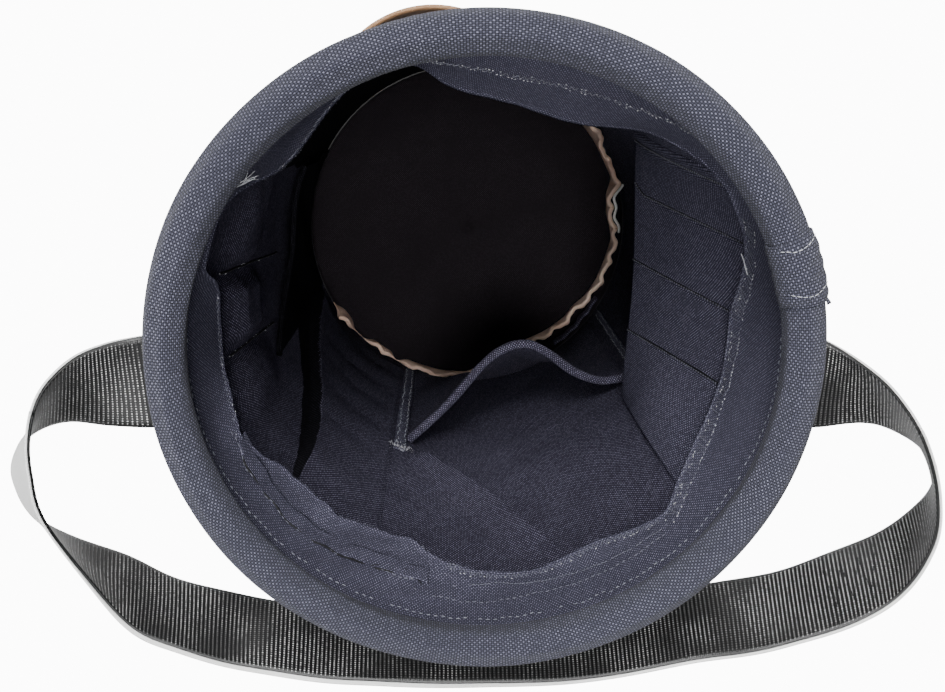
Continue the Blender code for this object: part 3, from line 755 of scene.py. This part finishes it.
# Rows along the raw edge: from, to, height above it, pitch, length, radius, seed, jitter, skip, zigzag
GREY_EDGE_ROWS = (
    (-98, -44, 0.0035, 0.0014, 0, 0.00018, 9, 0.0004, 0.15, 0.0046),
    (-44, 30, 0.0075, 0.0017, 0, 0.00012, 24, 0.0007, 0.35, 0.012),
    (-44, 24, 0.002, 0.0026, 0.0014, 0.0003, 33, 0.0005, 0.1),
    (-44, 16, 0.015, 0.0029, 0.0014, 0.0003, 34, 0.0005, 0.15),
    (-98, -44, 0.0004, 0.002, 0.0018, 0.00024, 10, 0.0003, 0.08),
    (-190, -157, 0.003, 0.0016, 0, 0.0002, 11, 0.0004, 0.15, 0.0036),
    (116, 143, 0.003, 0.0016, 0, 0.00018, 12, 0.0004, 0.35, 0.0036),
)
# from, to, height above it, seed, skip
PALE_EDGE_ROWS = (
    (-97, 36, 0.0058, 21, 0.75),
    (-48, 28, 0.015, 25, 0.6),
    (-48, 10, 0.0072, 26, 0.8),
    (116, 144, 0.0004, 22, 0.25),
    (-190, -158, 0.001, 23, 0.5),
)


def facing_row(points, pitch, length, radius, seed, jitter=0.0, skip=0.0, zig=0.0, above=0.0):
    a, z = np.array(points, float).T
    t = np.arange(a[0], a[-1], 0.4)
    z = np.interp(t, a, z + above) + 0.0004 * np.sin(t * 0.9)
    more = {"seed": seed, "jitter": jitter, "skip": skip, "zig": zig}
    return stitches(facing_point(t, z, 0.0004), facing_normal(t, z), pitch, length, radius, **more)


def edge_row(a, b, above, *args):
    t = np.arange(a, b, 2.0)
    return facing_row(list(zip(t, Z_LOW(t) + above)), *args)


def make_facing_stitches():
    seam = facing_row([(a, 0.4076) for a in (-190, 50)], 0.0038, 0.002, 0.00024, 8, 0.0004, 0.12)
    join_tubes("rim_seam_stitches", seam, THREAD_LIGHT)
    grey = []
    for values in GREY_EDGE_ROWS:
        grey += edge_row(*values)
    grey += facing_row(LEFT_ROW, 0.0034, 0.0022, 0.00024, 13, 0.0003, 0.05)
    grey += facing_row(LEFT_ROW[4:], 0.0012, 0, 0.00012, 27, 0.0004, 0.2, 0.004, -0.0035)
    for k in range(3):
        part = LEFT_ROW[2 + k % 2 : 6]
        grey += facing_row(part, 0.0075, 0.0062, 0.00012, 35 + k, 0.0004, 0.25, above=-0.0026 - 0.0022 * k)
    grey += facing_row(FLAP_ROW, 0.0014, 0, 0.00018, 14, 0.0004, 0.15, 0.004)
    grey += facing_row(LOWER_ROW, 0.0036, 0.0022, 0.00024, 15, 0.0002)
    grey += facing_row(PALE_ROW, 0.0021, 0.0019, 0.00022, 16, 0.00015, 0.1)
    join_tubes("facing_overlock", grey, THREAD_GREY)
    pale = facing_row(FLAP_ROW, 0.0018, 0.0008, 0.00022, 17, 0.0008, 0.55, above=-0.0026)
    pale += facing_row(FLAP_ROW, 0.0018, 0.0008, 0.00022, 18, 0.0008, 0.7, above=0.0022)
    pale += facing_row(LEFT_ROW, 0.0018, 0.0008, 0.00024, 19, 0.0008, 0.6, above=-0.0022)
    pale += facing_row(((-152, 0.3796), (-148, 0.3762), (-145, 0.3734)), 0.0024, 0.0009, 0.00028, 20, 0.0005)
    for a, b, above, seed, skip in PALE_EDGE_ROWS:
        pale += edge_row(a, b, above, 0.0019, 0.0009, 0.00024, seed, 0.0006, skip)
    join_tubes("facing_light_stitches", pale, THREAD_WHITE)


# ---------------------------------------------------------------- right panel
PANEL_LOW = 0.207
PANEL_TOP_R = 0.1392
# The panel's lines of stitches: y at the bottom and at the top
LINES = ((0.0885, 0.0765), (0.0565, 0.0475), (0.0105, 0.004), (-0.039, -0.0365))


def panel_x(y, z, top):
    """The hanging panel's wall side: on the wall at its top, on a straight line at its bottom."""
    wall = np.sqrt(PANEL_TOP_R**2 - y**2)
    drop = np.clip((top - z) / (top - PANEL_LOW), 0, 1)
    chord = 0.107 + 0.0012 * np.cos(y * 40)
    x = wall + (chord - wall) * drop**1.12
    return x - 0.0016 * np.sin(drop * np.pi) * (0.5 + 0.5 * np.sin(y * 75 + 0.7))


def line_y(k, drop):
    low, top = LINES[k]
    y = top + (low - top) * drop
    if k == 1:
        y = y + 0.006 * step(drop, 0.86, 1.0)
    return y


def panel_top(y):
    return Z_LOW(np.degrees(np.arcsin(np.clip(y / PANEL_TOP_R, -1, 1)))) - 0.0008


def make_right_panel():
    Y, S = np.meshgrid(np.linspace(-0.087, 0.096, 260), np.linspace(0, 1, 90))
    top = panel_top(Y)
    Z = PANEL_LOW + (top - PANEL_LOW) * S
    X = panel_x(Y, Z, top)
    drop = 1 - S
    for k in range(4):
        X = X + 0.001 * np.exp(-(((Y - line_y(k, drop)) / 0.0012) ** 2))
    X = X - 0.0017 * np.exp(-(((Y - line_y(0, drop) - 0.0052) / 0.0022) ** 4))
    # the bottom turns under
    X = X + 0.004 * np.exp(-((S / 0.012) ** 2))
    panel = {"flat": (0.19, 0.16), "held": "hung", "replaces": ("right_panel",)}
    cloth("right_panel_cloth", np.stack([X, Y, Z], -1), np.stack([Y, Z], -1), 0.0013, PANEL_MAT, **panel)

    rows, holes = [], []
    for k, (a, b) in enumerate(((0.0, 0.97), (0.03, 0.97), (0.02, 0.98), (0.02, 0.98))):
        sd = np.linspace(a, b, 200)
        y = line_y(k, 1 - sd)
        top = panel_top(y)
        z = PANEL_LOW + (top - PANEL_LOW) * sd
        path = np.stack([panel_x(y, z, top) - 0.001, y, z], 1)
        rows += stitches(path, np.tile([-1.0, 0, 0.2], (200, 1)), 0.0031, 0.0013, 0.00044, seed=50 + k)
        holes.append(tube(path + [0.0003, 0, 0], 0.00085, 6))
    join_tubes("panel_stitches", rows, THREAD_GREY)
    join_tubes("panel_stitch_line", holes, THREAD_DARK)


# ---------------------------------------------------------------- front and left pockets, lining
FRONT_HEM = (
    (-0.046, -0.1275, 0.1905), (-0.018, -0.1, 0.1915), (0.007, -0.07, 0.192),
    (0.023, -0.0575, 0.1925), (0.039, -0.054, 0.193), (0.054, -0.061, 0.1925),
    (0.073, -0.075, 0.191), (0.092, -0.082, 0.1905), (0.11, -0.08, 0.19),
)
POCKET_LOW = 0.022


def pocket_cloth(name, hem, first, last, top, bulge, material=None, **more):
    """A pocket that stands on the wall at its foot and follows its hem at its top."""
    s = np.linspace(0, 1, 70)[:, None]
    ang = np.linspace(first, last, len(hem))[None]
    z = POCKET_LOW + (top - POCKET_LOW) * s + 0 * ang
    k = (s**0.85)[..., None]
    P = polar(0.1377, ang + 0 * s, z) * (1 - k) + hem[None] * k
    P[..., 2] = z
    unevenness = 0.0018 * np.sin(ang * 0.25 + s * 7) * np.sin(np.pi * s)
    P = P + grid_normals(P) * (unevenness + bulge * np.sin(np.pi * s))[..., None]
    UV = np.stack(np.broadcast_arrays(arc_length(hem)[None, :], z), -1)
    cloth(name, P, UV, 0.0012, material or CLOTH_MAT, **more)


def make_pockets():
    hem = catmull(FRONT_HEM, 16)
    front = {"replaces": ("front_pocket",), "flat": (0.19, 0.161)}
    pocket_cloth("front_pocket_cloth", hem, 250.0, 322.0, 0.1885, 0.002, **front)
    roll("front_hem_roll", hem, 0.0032, ("front_pocket_hem",))
    angles = np.linspace(150, 200, 120)
    z = 0.164 + 0.07 * np.maximum(0.0, (angles - 176) / 22) ** 1.5
    hem = polar(0.1352 - 0.006 * bump(angles, 175, 27), angles, z)
    left = {"replaces": ("left_pocket",), "flat": (0.12, 0.1545)}
    # the left pocket and its hem take the near-black canvas: painted shade
    pocket_cloth("left_pocket_cloth", hem, 150.0, 200.0, z - 0.0035, 0.0, PAINTED_SHADE_MAT, **left)
    roll("left_hem_roll", hem, 0.0019, ("left_pocket_hem",), PAINTED_SHADE_MAT)

    # lining panel at the front left, pulled straight, with a deep fold at its left side
    T, S = np.meshgrid(np.linspace(196.0, 247.0, 220), np.linspace(0, 1, 110))
    top = Z_LOW(T) + 0.0015
    Z = POCKET_LOW + (top - POCKET_LOW) * S
    fold = 201.0 + 20.0 * step(Z, 0.04, 0.3)
    stand = 0.0085 * np.clip((246.0 - T) / (246.0 - fold), 0, 1) ** 1.2 * step(T, fold - 1.0, fold + 0.5)
    stand = stand * step(Z, 0.022, 0.07) * (1 - 0.6 * step(Z, 0.31, 0.35))
    fade = step(T, 196.0, 198.5) * (1 - step(T, 244.0, 247.0))
    back = WALL_IN + 0.0004
    body = back - wall_inner_r(T, Z) - 0.0007 * (1 - fade) + 0.0009 * fade
    body = body + stand + 0.0008 * (0.5 + 0.5 * np.sin(T * 0.22 + Z * 18)) * np.sin(np.pi * S) * fade
    body = np.maximum(body, 0.0002)
    inner = polar(back - body, T, Z)
    steps = np.linalg.norm(np.diff(inner, axis=1, append=inner[:, -1:]), axis=2)
    across = np.cumsum(steps[:, ::-1], axis=1)[:, ::-1]
    UV = np.stack([rad(T[:, -1:]) * 0.14 - across, Z], -1)
    lining = {"replaces": ("left_lining_panel",), "flat": (0.1335, 0.325)}
    obj = cloth("left_lining_cloth", polar(back + 0 * T, T, Z), UV, body, CLOTH_MAT, **lining)
    # near-black canvas inside the fold: painted shade
    shade_width = 0.9 + 3.2 * (1 - step(Z, 0.24, 0.34)) + 5.0 * (1 - step(Z, 0.12, 0.22))
    inside = (T < fold + 0.3) & (T > fold - shade_width)
    line_inner_face(obj, inside[:-1, :-1], PAINTED_SHADE_MAT)


def make_left_wall_lines():
    """Seams of the outer pockets as they show on the inside of the left wall."""
    rows, holes = [], []
    for k, ((_, top), (_, low)) in enumerate(LEFT_SEAMS):
        z = np.linspace(top, low, 200)
        th = seam_angle(k, z)
        r = wall_inner_r(th, z) - 0.0002
        rows += wall_seam(r, th, z, 0.0066, 0.0016, 0.00036, out=-1.0, seed=71 + k, jitter=0.0006, skip=0.1)
        holes.append(tube(polar(r, th, z) * [1.0006, 1.0006, 1], 0.0008, 6))
    join_tubes("left_wall_stitches", rows, THREAD_WHITE)
    join_tubes("left_wall_stitch_lines", holes, THREAD_DARK)


def binding(name, centre, half, high, node, thick, seed):
    """A bound seam: a low rounded strip up the wall, with a row of stitches along each side."""
    low, r = POCKET_LOW, 0.1396
    T, Z = np.meshgrid(np.linspace(centre - half, centre + half, 16), np.linspace(low, high, 160))
    q = np.sqrt(np.clip(1 - ((T - centre) / half) ** 2, 0, 1))
    body = np.maximum(thick * q * (0.85 + 0.15 * np.sin(Z * 700 + seed)), 0.0004)
    cloth(name, polar(np.full_like(T, r), T, Z), wall_uv(T, Z), body, FACING_MAT, replaces=(node,))
    rows = []
    for k, side in enumerate((-0.62, 0.62)):
        on = r - thick * 1.02 * math.sqrt(1 - 0.62**2)
        z = np.linspace(low + 0.002, high - 0.002, 160)
        more = {"out": -1.0, "face": centre, "seed": seed + 3 + k, "jitter": 0.0005, "skip": 0.15}
        rows += wall_seam(on, centre + side * half, z, 0.0026, 0.0012, 0.00034, **more)
    join_tubes(name + "_stitches", rows, THREAD_LIGHT)


def make_bindings():
    centre = 247.8
    binding("front_binding_strip", centre, 1.9, 0.207, "seam_binding_front", 0.003, 81)
    binding("right_binding_strip", 328.0, 1.3, 0.198, "seam_binding_right", 0.0028, 82)
    T, Z = np.meshgrid(np.linspace(308, 333, 90), np.linspace(0.0222, 0.0315, 14))
    P = polar(0.1288 - 0.0006 * np.sin(T * 0.9), T, Z + 0.001 * np.sin(T * 0.5))
    cloth("base_binding_strip", P, wall_uv(T, Z), 0.0019, CLOTH_MAT, replaces=("seam_binding_base",))
    # frayed foot of the front binding
    rng = np.random.default_rng(6)
    k = 90
    b = polar(np.full(k, 0.1372), centre + rng.normal(0, 2.0, k), 0.205 + rng.normal(0, 0.003, k))
    d = unit(polar(-1.0, np.full(k, centre), 0.4 * np.ones(k)) + rng.normal(0, 0.8, (k, 3)))
    join_tubes("binding_fray", fibres(b, d, rng.uniform(0.0006, 0.0018, k), 0.00014, 0.6, 7), THREAD_WHITE)


# ---------------------------------------------------------------- floor and leather edge
EDGE_R = table((
    (213, 0.1368), (220, 0.1372), (230, 0.1368), (241, 0.1366), (254, 0.137), (262, 0.1372),
    (271, 0.1362), (278, 0.129), (290, 0.1215), (298, 0.119), (308, 0.1215), (318, 0.1235),
    (324, 0.1225), (330, 0.1262), (337.8, 0.1283), (347.8, 0.1297), (356.6, 0.1322), (6.4, 0.1272),
    (14.2, 0.1294), (19.2, 0.1372), (26.8, 0.1362), (34, 0.137), (42, 0.1372), (60, 0.1372),
    (120, 0.1372), (180, 0.1372),
))
EDGE_Z = table((
    (213, 0.03), (220, 0.0235), (230, 0.0165), (241, 0.0135), (254, 0.0205), (262, 0.02), (271, 0.015),
    (290, 0.018), (320, 0.018), (337, 0.02), (347, 0.0205), (356, 0.023), (6, 0.02), (14, 0.021),
    (19, 0.04), (26.8, 0.016), (34, 0.034), (42, 0.07), (46, 0.08), (60, 0.018), (120, 0.018),
    (180, 0.018),
))
EDGE_SHOWN = table((
    (207, 0.0), (211, 0.1), (213, 1.0), (219, 1.0), (221.5, 0.0), (228, 0.0), (230, 1.0), (239, 1.0),
    (240.5, 0.0), (243, 0.0), (245, 1.0), (270, 1.0), (300, 1.0), (0, 1.0), (38, 1.0), (46, 1.0),
    (52, 0.0), (60, 0.0), (120, 0.0), (180, 0.0),
))


def flat_uv(theta, r):
    return np.stack([r * np.cos(rad(theta)), r * np.sin(rad(theta))], -1)


def make_floor():
    th = np.arange(360)
    r = np.concatenate([[0.002], np.linspace(0.01, 0.1385, 40)])
    T, R = np.meshgrid(th, r)
    z = 0.0072 + 0.0009 * ripple(T, R, 41, 1.0, 5) * step(R, 0.01, 0.05) * (1 - step(R, 0.125, 0.138))
    P = polar(R, T, np.minimum(z, 0.0082))
    UV = flat_uv(*np.meshgrid(np.append(th, 360), r))
    # rows run outward, so reverse them to face up
    lining = {"slot": "floor_lining"}
    cloth("floor_cloth", P[::-1], UV[::-1], 0.001, FLOOR_MAT, True, replaces=("floor_lining",), **lining)
    hub = polar(0.0022, np.arange(0, 360, 20), 0.00745)
    V = np.concatenate([[(0, 0, 0.0075)], hub])
    F = np.array([[0, 1 + i, 1 + (i + 1) % 18] for i in range(18)])
    settle(mesh_object("floor_cloth_centre", V, [F], FLOOR_MAT, V[F.ravel(), :2]), **lining)


def edge_wave(theta):
    return np.sin(rad(theta) * 41 + 2 * np.sin(rad(theta) * 5))


def make_leather_edge():
    T, S = np.meshgrid(np.arange(209.0, 410.0, 0.25), np.linspace(0, 1, 12))
    base, most = 0.0079, 0.1388
    shown = EDGE_SHOWN(T)
    wave = 0.0014 * edge_wave(T) + 0.0005 * np.sin(rad(T) * 83)
    r = most + (EDGE_R(T) + wave * S - most) * shown
    top = EDGE_Z(T) + 0.0008 * np.sin(rad(T) * 31)
    Z = base + (0.0007 + (top - base) * shown) * S
    P = polar(np.minimum(r, most), T, Z)
    strip = {"replaces": ("leather_seam_edge",), "slot": "leather"}
    cloth("leather_edge_strip", P, wall_uv(T, S * 0.012), 0.0003 + 0.0032 * shown, RAW_LEATHER, **strip)
    # a near-white tube beside the edge: painted highlight where the edge catches the light
    t = np.linspace(-0.5, 18.0, 60)
    cut = tube(polar(EDGE_R(t) + 0.001 * edge_wave(t) + 0.0022, t, EDGE_Z(t) + 0.001), 0.00115, 8)
    join_tubes("leather_edge_painted_highlight", [cut], PAINTED_HIGHLIGHT_LEATHER, slot="leather")


BOOT = (
    (0.1, 0.0001), (0.1386, 0.0002), (0.1412, 0.001), (0.1432, 0.0026), (0.1443, 0.0052), (0.1447, 0.009),
    (0.1447, 0.03), (0.1446, 0.057), (0.1443, 0.0592), (0.1436, 0.0598), (0.143, 0.0594), (0.1426, 0.058),
)


def make_boot():
    pts = catmull([(r, 0, z) for r, z in BOOT], 6)
    n = 480
    th = np.arange(n) * 360.0 / n
    T, Z = np.meshgrid(th, pts[:, 2])
    side = step(Z, 0.004, 0.02) * (1 - step(Z, 0.05, 0.058))
    crease = 0.0004 * ripple(T, Z, 61, 1.0, 12) * side
    P = polar(np.minimum(pts[:, :1] + crease, 0.1448), T, Z)
    UV = wall_uv(*np.meshgrid(np.append(th, 360.0), arc_length(pts)))
    cup = {"replaces": ("leather_boot",), "slot": "leather"}
    cloth("leather_base_cup", P, UV, 0.00012, LEATHER_MAT, True, **cup)
    th = np.arange(361)
    r = np.linspace(0.0005, 0.1395, 24)[::-1]
    T, R = np.meshgrid(th[:-1], r)
    P = polar(R, T, 0.0 * T)
    UV = flat_uv(*np.meshgrid(th, r))
    cloth("leather_base_sole", P[::-1][:, ::-1], UV, 0.0024, LEATHER_MAT, True, slot="leather")
    rows = []
    for z in (0.0535, 0.0495):
        rows += wall_seam(0.1449, np.linspace(0, 360, 1200), z, 0.004, 0.003, 0.00034, seed=int(z * 10000))
    join_tubes("base_cup_stitches", rows, THREAD_WHITE)


# ---------------------------------------------------------------- outside
OUTER_POCKETS = (
    ("outer_pockets_right", (-33.0, -16.0, 1.0, 17.5, 34.0, 50.0), 0.285),
    ("outer_pockets_left", (150.0, 169.5, 189.0, 208.5), 0.191),
    ("outer_pockets_front", (240.0, 268.0, 296.0), 0.168),
)


def make_outer_pockets():
    land, low, high = 1.2, 0.063, 0.28
    stitch = (0.0036, 0.0027, 0.00032)
    for name, div, width in OUTER_POCKETS:
        th = np.linspace(div[0], div[-1], int((div[-1] - div[0]) * 4) + 1)
        T, Z = np.meshgrid(th, low + (high - low) * np.linspace(0, 1, 90) ** 1.4)
        lift = np.clip((Z - low) / 0.1, 0, 1)
        across = np.zeros_like(T)
        for a, b in zip(div, div[1:]):
            inside = (T > a + land) & (T < b - land)
            across = np.where(inside, np.sin(np.pi * (T - a - land) / (b - a - 2 * land)), across)
        full = across**0.7 * np.sin(0.5 * np.pi * lift)
        sag = 0.0012 * np.sin(T * 0.8 + Z * 60) * full * (1 - step(Z, 0.24, 0.27))
        P = polar(OUTSIDE + 0.0172 * full + sag, T, Z - 0.004 * across * step(Z, 0.2, 0.28))
        UV = np.stack(np.broadcast_arrays(arc_length(P[-1])[None, :], Z), -1)
        cloth(name + "_cloth", P, UV, 0.0012, OUTER_MAT, replaces=(name,), flat=(width, 0.217))
        N = grid_normals(P)[-1]
        roll(name + "_binding", catmull(P[-1][::6] - N[::6] * 0.0006, 6), 0.0013, (), LEATHER_MAT)
        rows = []
        for a in div:
            # one row along each end, and two rows between neighbouring pockets
            rows_at = (0.45,) if a == div[0] else (-0.45,) if a == div[-1] else (-0.35, 0.35)
            for off in rows_at:
                z = np.linspace(0.066, 0.277, 120)
                rows += wall_seam(STITCHED, a + off, z, *stitch, face=a, seed=int(a * 7 + 900))
        t = np.linspace(div[0] + 0.3, div[-1] - 0.3, 500)
        rows += wall_seam(STITCHED, t, 0.0655, *stitch, seed=int(div[0] + 700))
        join_tubes(name + "_stitches", rows, THREAD_WHITE)


def make_loop():
    a0, a1 = 87.0, 119.0
    T, S = np.meshgrid(np.linspace(79.2, 126.8, 260), np.linspace(0, 1, 40))
    inside = (T > a0) & (T < a1)
    across = np.where(inside, np.sin(np.pi * np.clip((T - a0) / (a1 - a0), 0, 1)), 0.0)
    round_edge = 0.0006 * (1 - np.sqrt(np.clip(1 - (2 * S - 1) ** 8, 0, 1)))
    Z = 0.33 + 0.032 * S
    P = polar(0.1447 + 0.0165 * across**0.6 - round_edge, T, Z)
    UV = np.stack(np.broadcast_arrays(arc_length(P[20])[None, :], Z), -1)
    loop = {"replaces": ("leather_tool_loop",), "slot": "leather"}
    cloth("tool_loop_leather", P, UV, 0.0022, LEATHER_MAT, **loop)
    rows = []
    for f in (0.14, 0.86):
        row = P[int(f * 39)][4:-4]
        out = unit(row * [1, 1, 0])
        rows += stitches(row - out * 0.0002, out, 0.0036, 0.0028, 0.00024, lift=0.3, seed=int(f * 100))
    join_tubes("tool_loop_stitches", rows, THREAD_WHITE)


# ---------------------------------------------------------------- strap
def strap_sections():
    """(upper edge, lower edge) places along the strap from sewn end to sewn end, read in millimetres."""
    left = [
        ((-159.5, 4, 378), (-159.5, -44, 375)),
        ((-168, 4, 383), (-167, -44, 379)),
        ((-183, 1, 386), (-189, -45, 373)),
        ((-199, -6, 389), (-213, -46, 364)),
        ((-213, -20, 394), (-231, -52, 360)),
        ((-219, -38, 399), (-244, -63, 358)),
        ((-220, -60, 401), (-250, -82, 358)),
        ((-215, -90, 400), (-239, -108, 357)),
        ((-186, -141, 398), (-199, -130, 353)),
        ((-157, -161, 397), (-167, -148, 352)),
        ((-105, -177, 396), (-110, -162, 352)),
        ((-50, -183, 396), (-52, -168, 351)),
    ]
    right = [
        ((50, -183, 396), (52, -168, 351)),
        ((112, -171, 397), (117, -155, 352)),
        ((162, -161, 398), (170, -143, 354)),
        ((211, -138, 399), (221, -121, 355)),
        ((230, -105, 400), (247, -98, 356)),
        ((230, -75, 400), (250, -79, 357)),
        ((219, -45, 398), (239, -64, 358)),
        ((203, -22, 393), (221, -53, 361)),
        ((187, -8, 388), (201, -47, 367)),
        ((170, 2, 383), (170, -45, 379)),
        ((159.5, 4, 378), (159.5, -44, 375)),
    ]
    middle = [((0, -184, 396), (0, -169, 351))]

    def end(side):
        """The sewn end on the round wall, which leaves it by a share out."""
        out = []
        for z, share in ((298, 0), (312, 0), (326, 0), (340, 0), (352, 0), (361, 0.12), (369, 0.45)):
            walls = [(y, math.sqrt(143.6**2 - y * y)) for y in (4, -44)]
            out.append([(side * (w + (157.5 - w) * share), y, z) for y, w in walls])
        return out

    secs = end(-1) + left + middle + right + end(1)[::-1]
    return np.array(secs, float) / 1000.0


def make_strap():
    A, B = (catmull(edge, 12) for edge in strap_sections().transpose(1, 0, 2))
    s = arc_length((A + B) / 2)
    n = int(s[-1] / 0.002)
    at = np.linspace(0, s[-1], n)
    A, B = at_distances(A, s, at), at_distances(B, s, at)
    w = np.linspace(0, 1, 17)[:, None]
    P = B[None] * (1 - w[..., None]) + A[None] * w[..., None]
    # the sewn ends follow the round wall
    rr = np.hypot(P[..., 0], P[..., 1])
    near = (rr < 0.144) & (P[..., 2] < 0.372)
    P[..., :2] *= np.where(near, OUTSIDE / rr, 1.0)[..., None]
    N = grid_normals(P)
    # soft dents across the webbing
    x, v = np.broadcast_arrays(at[None], w)
    free = step(at, 0.07, 0.12) * (1 - step(at, at[-1] - 0.12, at[-1] - 0.07))
    dent = 0.0017 * np.sin(x * 62 + 1.5 * np.sin(x * 19)) * np.sin(np.pi * v + 0.4 * np.sin(x * 31)) * free
    dent = dent + 0.0016 * hill(x, at[-1] * 0.36, 0.02) * np.sin(np.pi * v)
    dent = dent + 0.0014 * hill(x, at[-1] * 0.46, 0.018) * np.sin(2 * np.pi * v)
    P = P + N * dent[..., None]
    N = grid_normals(P)
    UV = np.stack([x, v * WEB_WIDTH], -1)
    # the tape is a little wider than the webbing, and shows past its lower edge
    wide = 0.35 + 0.3 * (1 - step(at, 0.42 * at[-1], 0.6 * at[-1]))
    low = P[-1] + (P[-1] - P[-2]) * wide[:, None]
    P_tape = np.concatenate([(0.3 * P[0] + 0.7 * P[1])[None], P[1:-1], low[None]])
    # the strap is cut where it turns forward at each side. The middle rides on the handle
    side_x, end_x = 0.2165, 0.152
    left = int(np.argmax((A[:, 0] < -side_x) & (B[:, 0] < -side_x)))
    right = n - 1 - int(np.argmax(((A[:, 0] > side_x) & (B[:, 0] > side_x))[::-1]))
    spans = (("left", 0, left + 1, -1), ("middle", left, right + 1, 0), ("right", right, n, 1))
    for name, a, b, side in spans:
        end = ("handle_end_" + name,)
        for kind, shape, shift, thick, mat, stands_for in (
            ("webbing", P, -0.0001, 0.0013, WEB_MAT, end if side else ("handle_webbing",)),
            ("backing", P if side else P_tape, 0.0011, 0.0011, TAPE_MAT, () if side else ("handle_backing",)),
        ):
            Q = (shape + N * shift)[:, a:b]
            more = {"body": None if side else HANDLE, "replaces": stands_for, "slot": kind}
            obj = cloth("strap_" + kind + "_" + name, Q, UV[:, a:b], thick, mat, **more)
            if side:
                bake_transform(obj)
    make_strap_stitches(P, N, int(n * 0.715))


def make_strap_stitches(P, N, c):
    """A zigzag of black thread on the inner face at the front right, where the webbing's ends overlap."""
    zigzag = ((-7, 4), (-5, 12), (-2, 4), (0, 12), (3, 4), (5, 12), (8, 4))
    path = np.array([P[dv, c + ds] - N[dv, c + ds] * 0.0016 for ds, dv in zigzag])
    normal = np.array([-N[dv, c + ds] for ds, dv in zigzag])
    dense = [np.concatenate([np.linspace(a, b, 14) for a, b in zip(q, q[1:])]) for q in (path, normal)]
    rows = stitches(*dense, 0.0021, 0.0018, 0.00038, seed=3)
    join_tubes("strap_tack_stitches", rows, THREAD_DARK, body=HANDLE)


# ---------------------------------------------------------------- loose threads
def make_threads():
    def thread(name, points, radius, mat):
        join_tubes(name, [tube(catmull(points, 10), radius, 6)], mat)

    t = np.array([19.8, 18.0, 16.3, 14.5])
    ends = polar(np.array([0.1325, 0.133, 0.1335, 0.134]), t, np.array([0.378, 0.3775, 0.376, 0.3755]))
    thread("panel_thread_end", ends, 0.00024, THREAD_WHITE)
    t = np.array([-117.0, -111.3, -106.5, -103.4])
    loose = facing_point(t, np.array([0.3847, 0.3757, 0.3761, 0.3842]), 0.0004)
    thread("facing_thread_end", loose, 0.0003, THREAD_DARK)
    rng = np.random.default_rng(77)
    for k in range(7):
        t0 = 144.6 + 0.28 * k + rng.normal() * 0.2
        a = np.array([t0, t0 - 1.0, t0 - 2.4, t0 - 4.2 + 0.4 * rng.normal()])
        r = np.array([0.1378, 0.1362, 0.1342, 0.132 + 0.0014 * rng.normal()])
        z = np.array([0.4095, 0.409, 0.408, 0.4065]) - 0.0008 * k + 0.0004 * rng.normal(size=4)
        thread("fray_tuft_%d" % (k + 1), polar(r, a, z), 0.00011, THREAD_WHITE)


# ---------------------------------------------------------------- stage
def make_stage():
    floor = bpy.data.meshes.new("stage_floor")
    floor.from_pydata([(-4, -4, 0), (4, -4, 0), (4, 4, 0), (-4, 4, 0)], [], [(0, 1, 2, 3)])
    obj = bpy.data.objects.new("stage_floor", floor)
    obj.location = (0, 0, -0.0003)
    bpy.context.scene.collection.objects.link(obj)
    # it gives light as a diffuse floor, and shows to the camera as a plain white ground
    m = bpy.data.materials.new("stage_floor")
    m.use_nodes = True
    nt = m.node_tree
    nt.nodes.clear()
    kinds = ("OutputMaterial", "MixShader", "LightPath", "BsdfDiffuse", "Emission")
    out, mixer, path, diffuse, glow = (nt.nodes.new("ShaderNode" + kind) for kind in kinds)
    diffuse.inputs[0].default_value = (0.85, 0.85, 0.85, 1)
    glow.inputs[0].default_value = (1, 1, 1, 1)
    glow.inputs[1].default_value = 12.0
    for k, source in enumerate((path.outputs["Is Camera Ray"], diffuse.outputs[0], glow.outputs[0])):
        nt.links.new(source, mixer.inputs[k])
    nt.links.new(mixer.outputs[0], out.inputs[0])
    floor.materials.append(m)

    world = bpy.data.worlds.new("studio")
    bpy.context.scene.world = world
    world.use_nodes = True
    bg = world.node_tree.nodes["Background"]
    bg.inputs[0].default_value = (0.95, 0.97, 1.0, 1)
    bg.inputs[1].default_value = 0.12

    def area(name, loc, target, size, power):
        light = bpy.data.lights.new(name, "AREA")
        light.energy = power
        light.size = size
        ob = bpy.data.objects.new(name, light)
        ob.location = loc
        ob.rotation_euler = (Vector(target) - Vector(loc)).to_track_quat("-Z", "Y").to_euler()
        bpy.context.scene.collection.objects.link(ob)

    area("key", (-0.24, 1.45, 1.95), (0, -0.03, 0.35), 0.9, 62)
    area("top_light", (0.04, 0.02, 1.7), (0, 0, 0.2), 0.5, 19)
    area("side_light", (-1.0, -0.45, 1.35), (0, 0, 0.38), 0.7, 8)


def make_camera():
    cam = bpy.data.cameras.new("camera")
    cam.sensor_width = 36.0
    cam.lens = 36.0 * 900.0 / 945.0
    cam.clip_start = 0.01
    obj = bpy.data.objects.new("camera", cam)
    turn = Matrix.Rotation(math.radians(-16.1), 4, "X") @ Matrix.Rotation(math.radians(-1.6), 4, "Y")
    obj.matrix_world = Matrix.Translation((-0.018, 0.1218, 0.807)) @ turn
    bpy.context.scene.collection.objects.link(obj)
    bpy.context.scene.camera = obj


def dress_cad_nodes():
    looks = {PLASTIC_MAT: ("rim_hoop", "floor_board"), STEEL_MAT: ("loop_rivet_a", "loop_rivet_b")}
    for mat, nodes in looks.items():
        for node in nodes:
            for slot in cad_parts[node].material_slots:
                slot.material = mat


make_camera()
make_stage()
make_rim()
make_wall()
make_facing()
make_right_panel()
make_pockets()
make_left_wall_lines()
make_bindings()
make_floor()
make_leather_edge()
make_boot()
make_outer_pockets()
make_loop()
make_strap()
make_threads()
dress_cad_nodes()
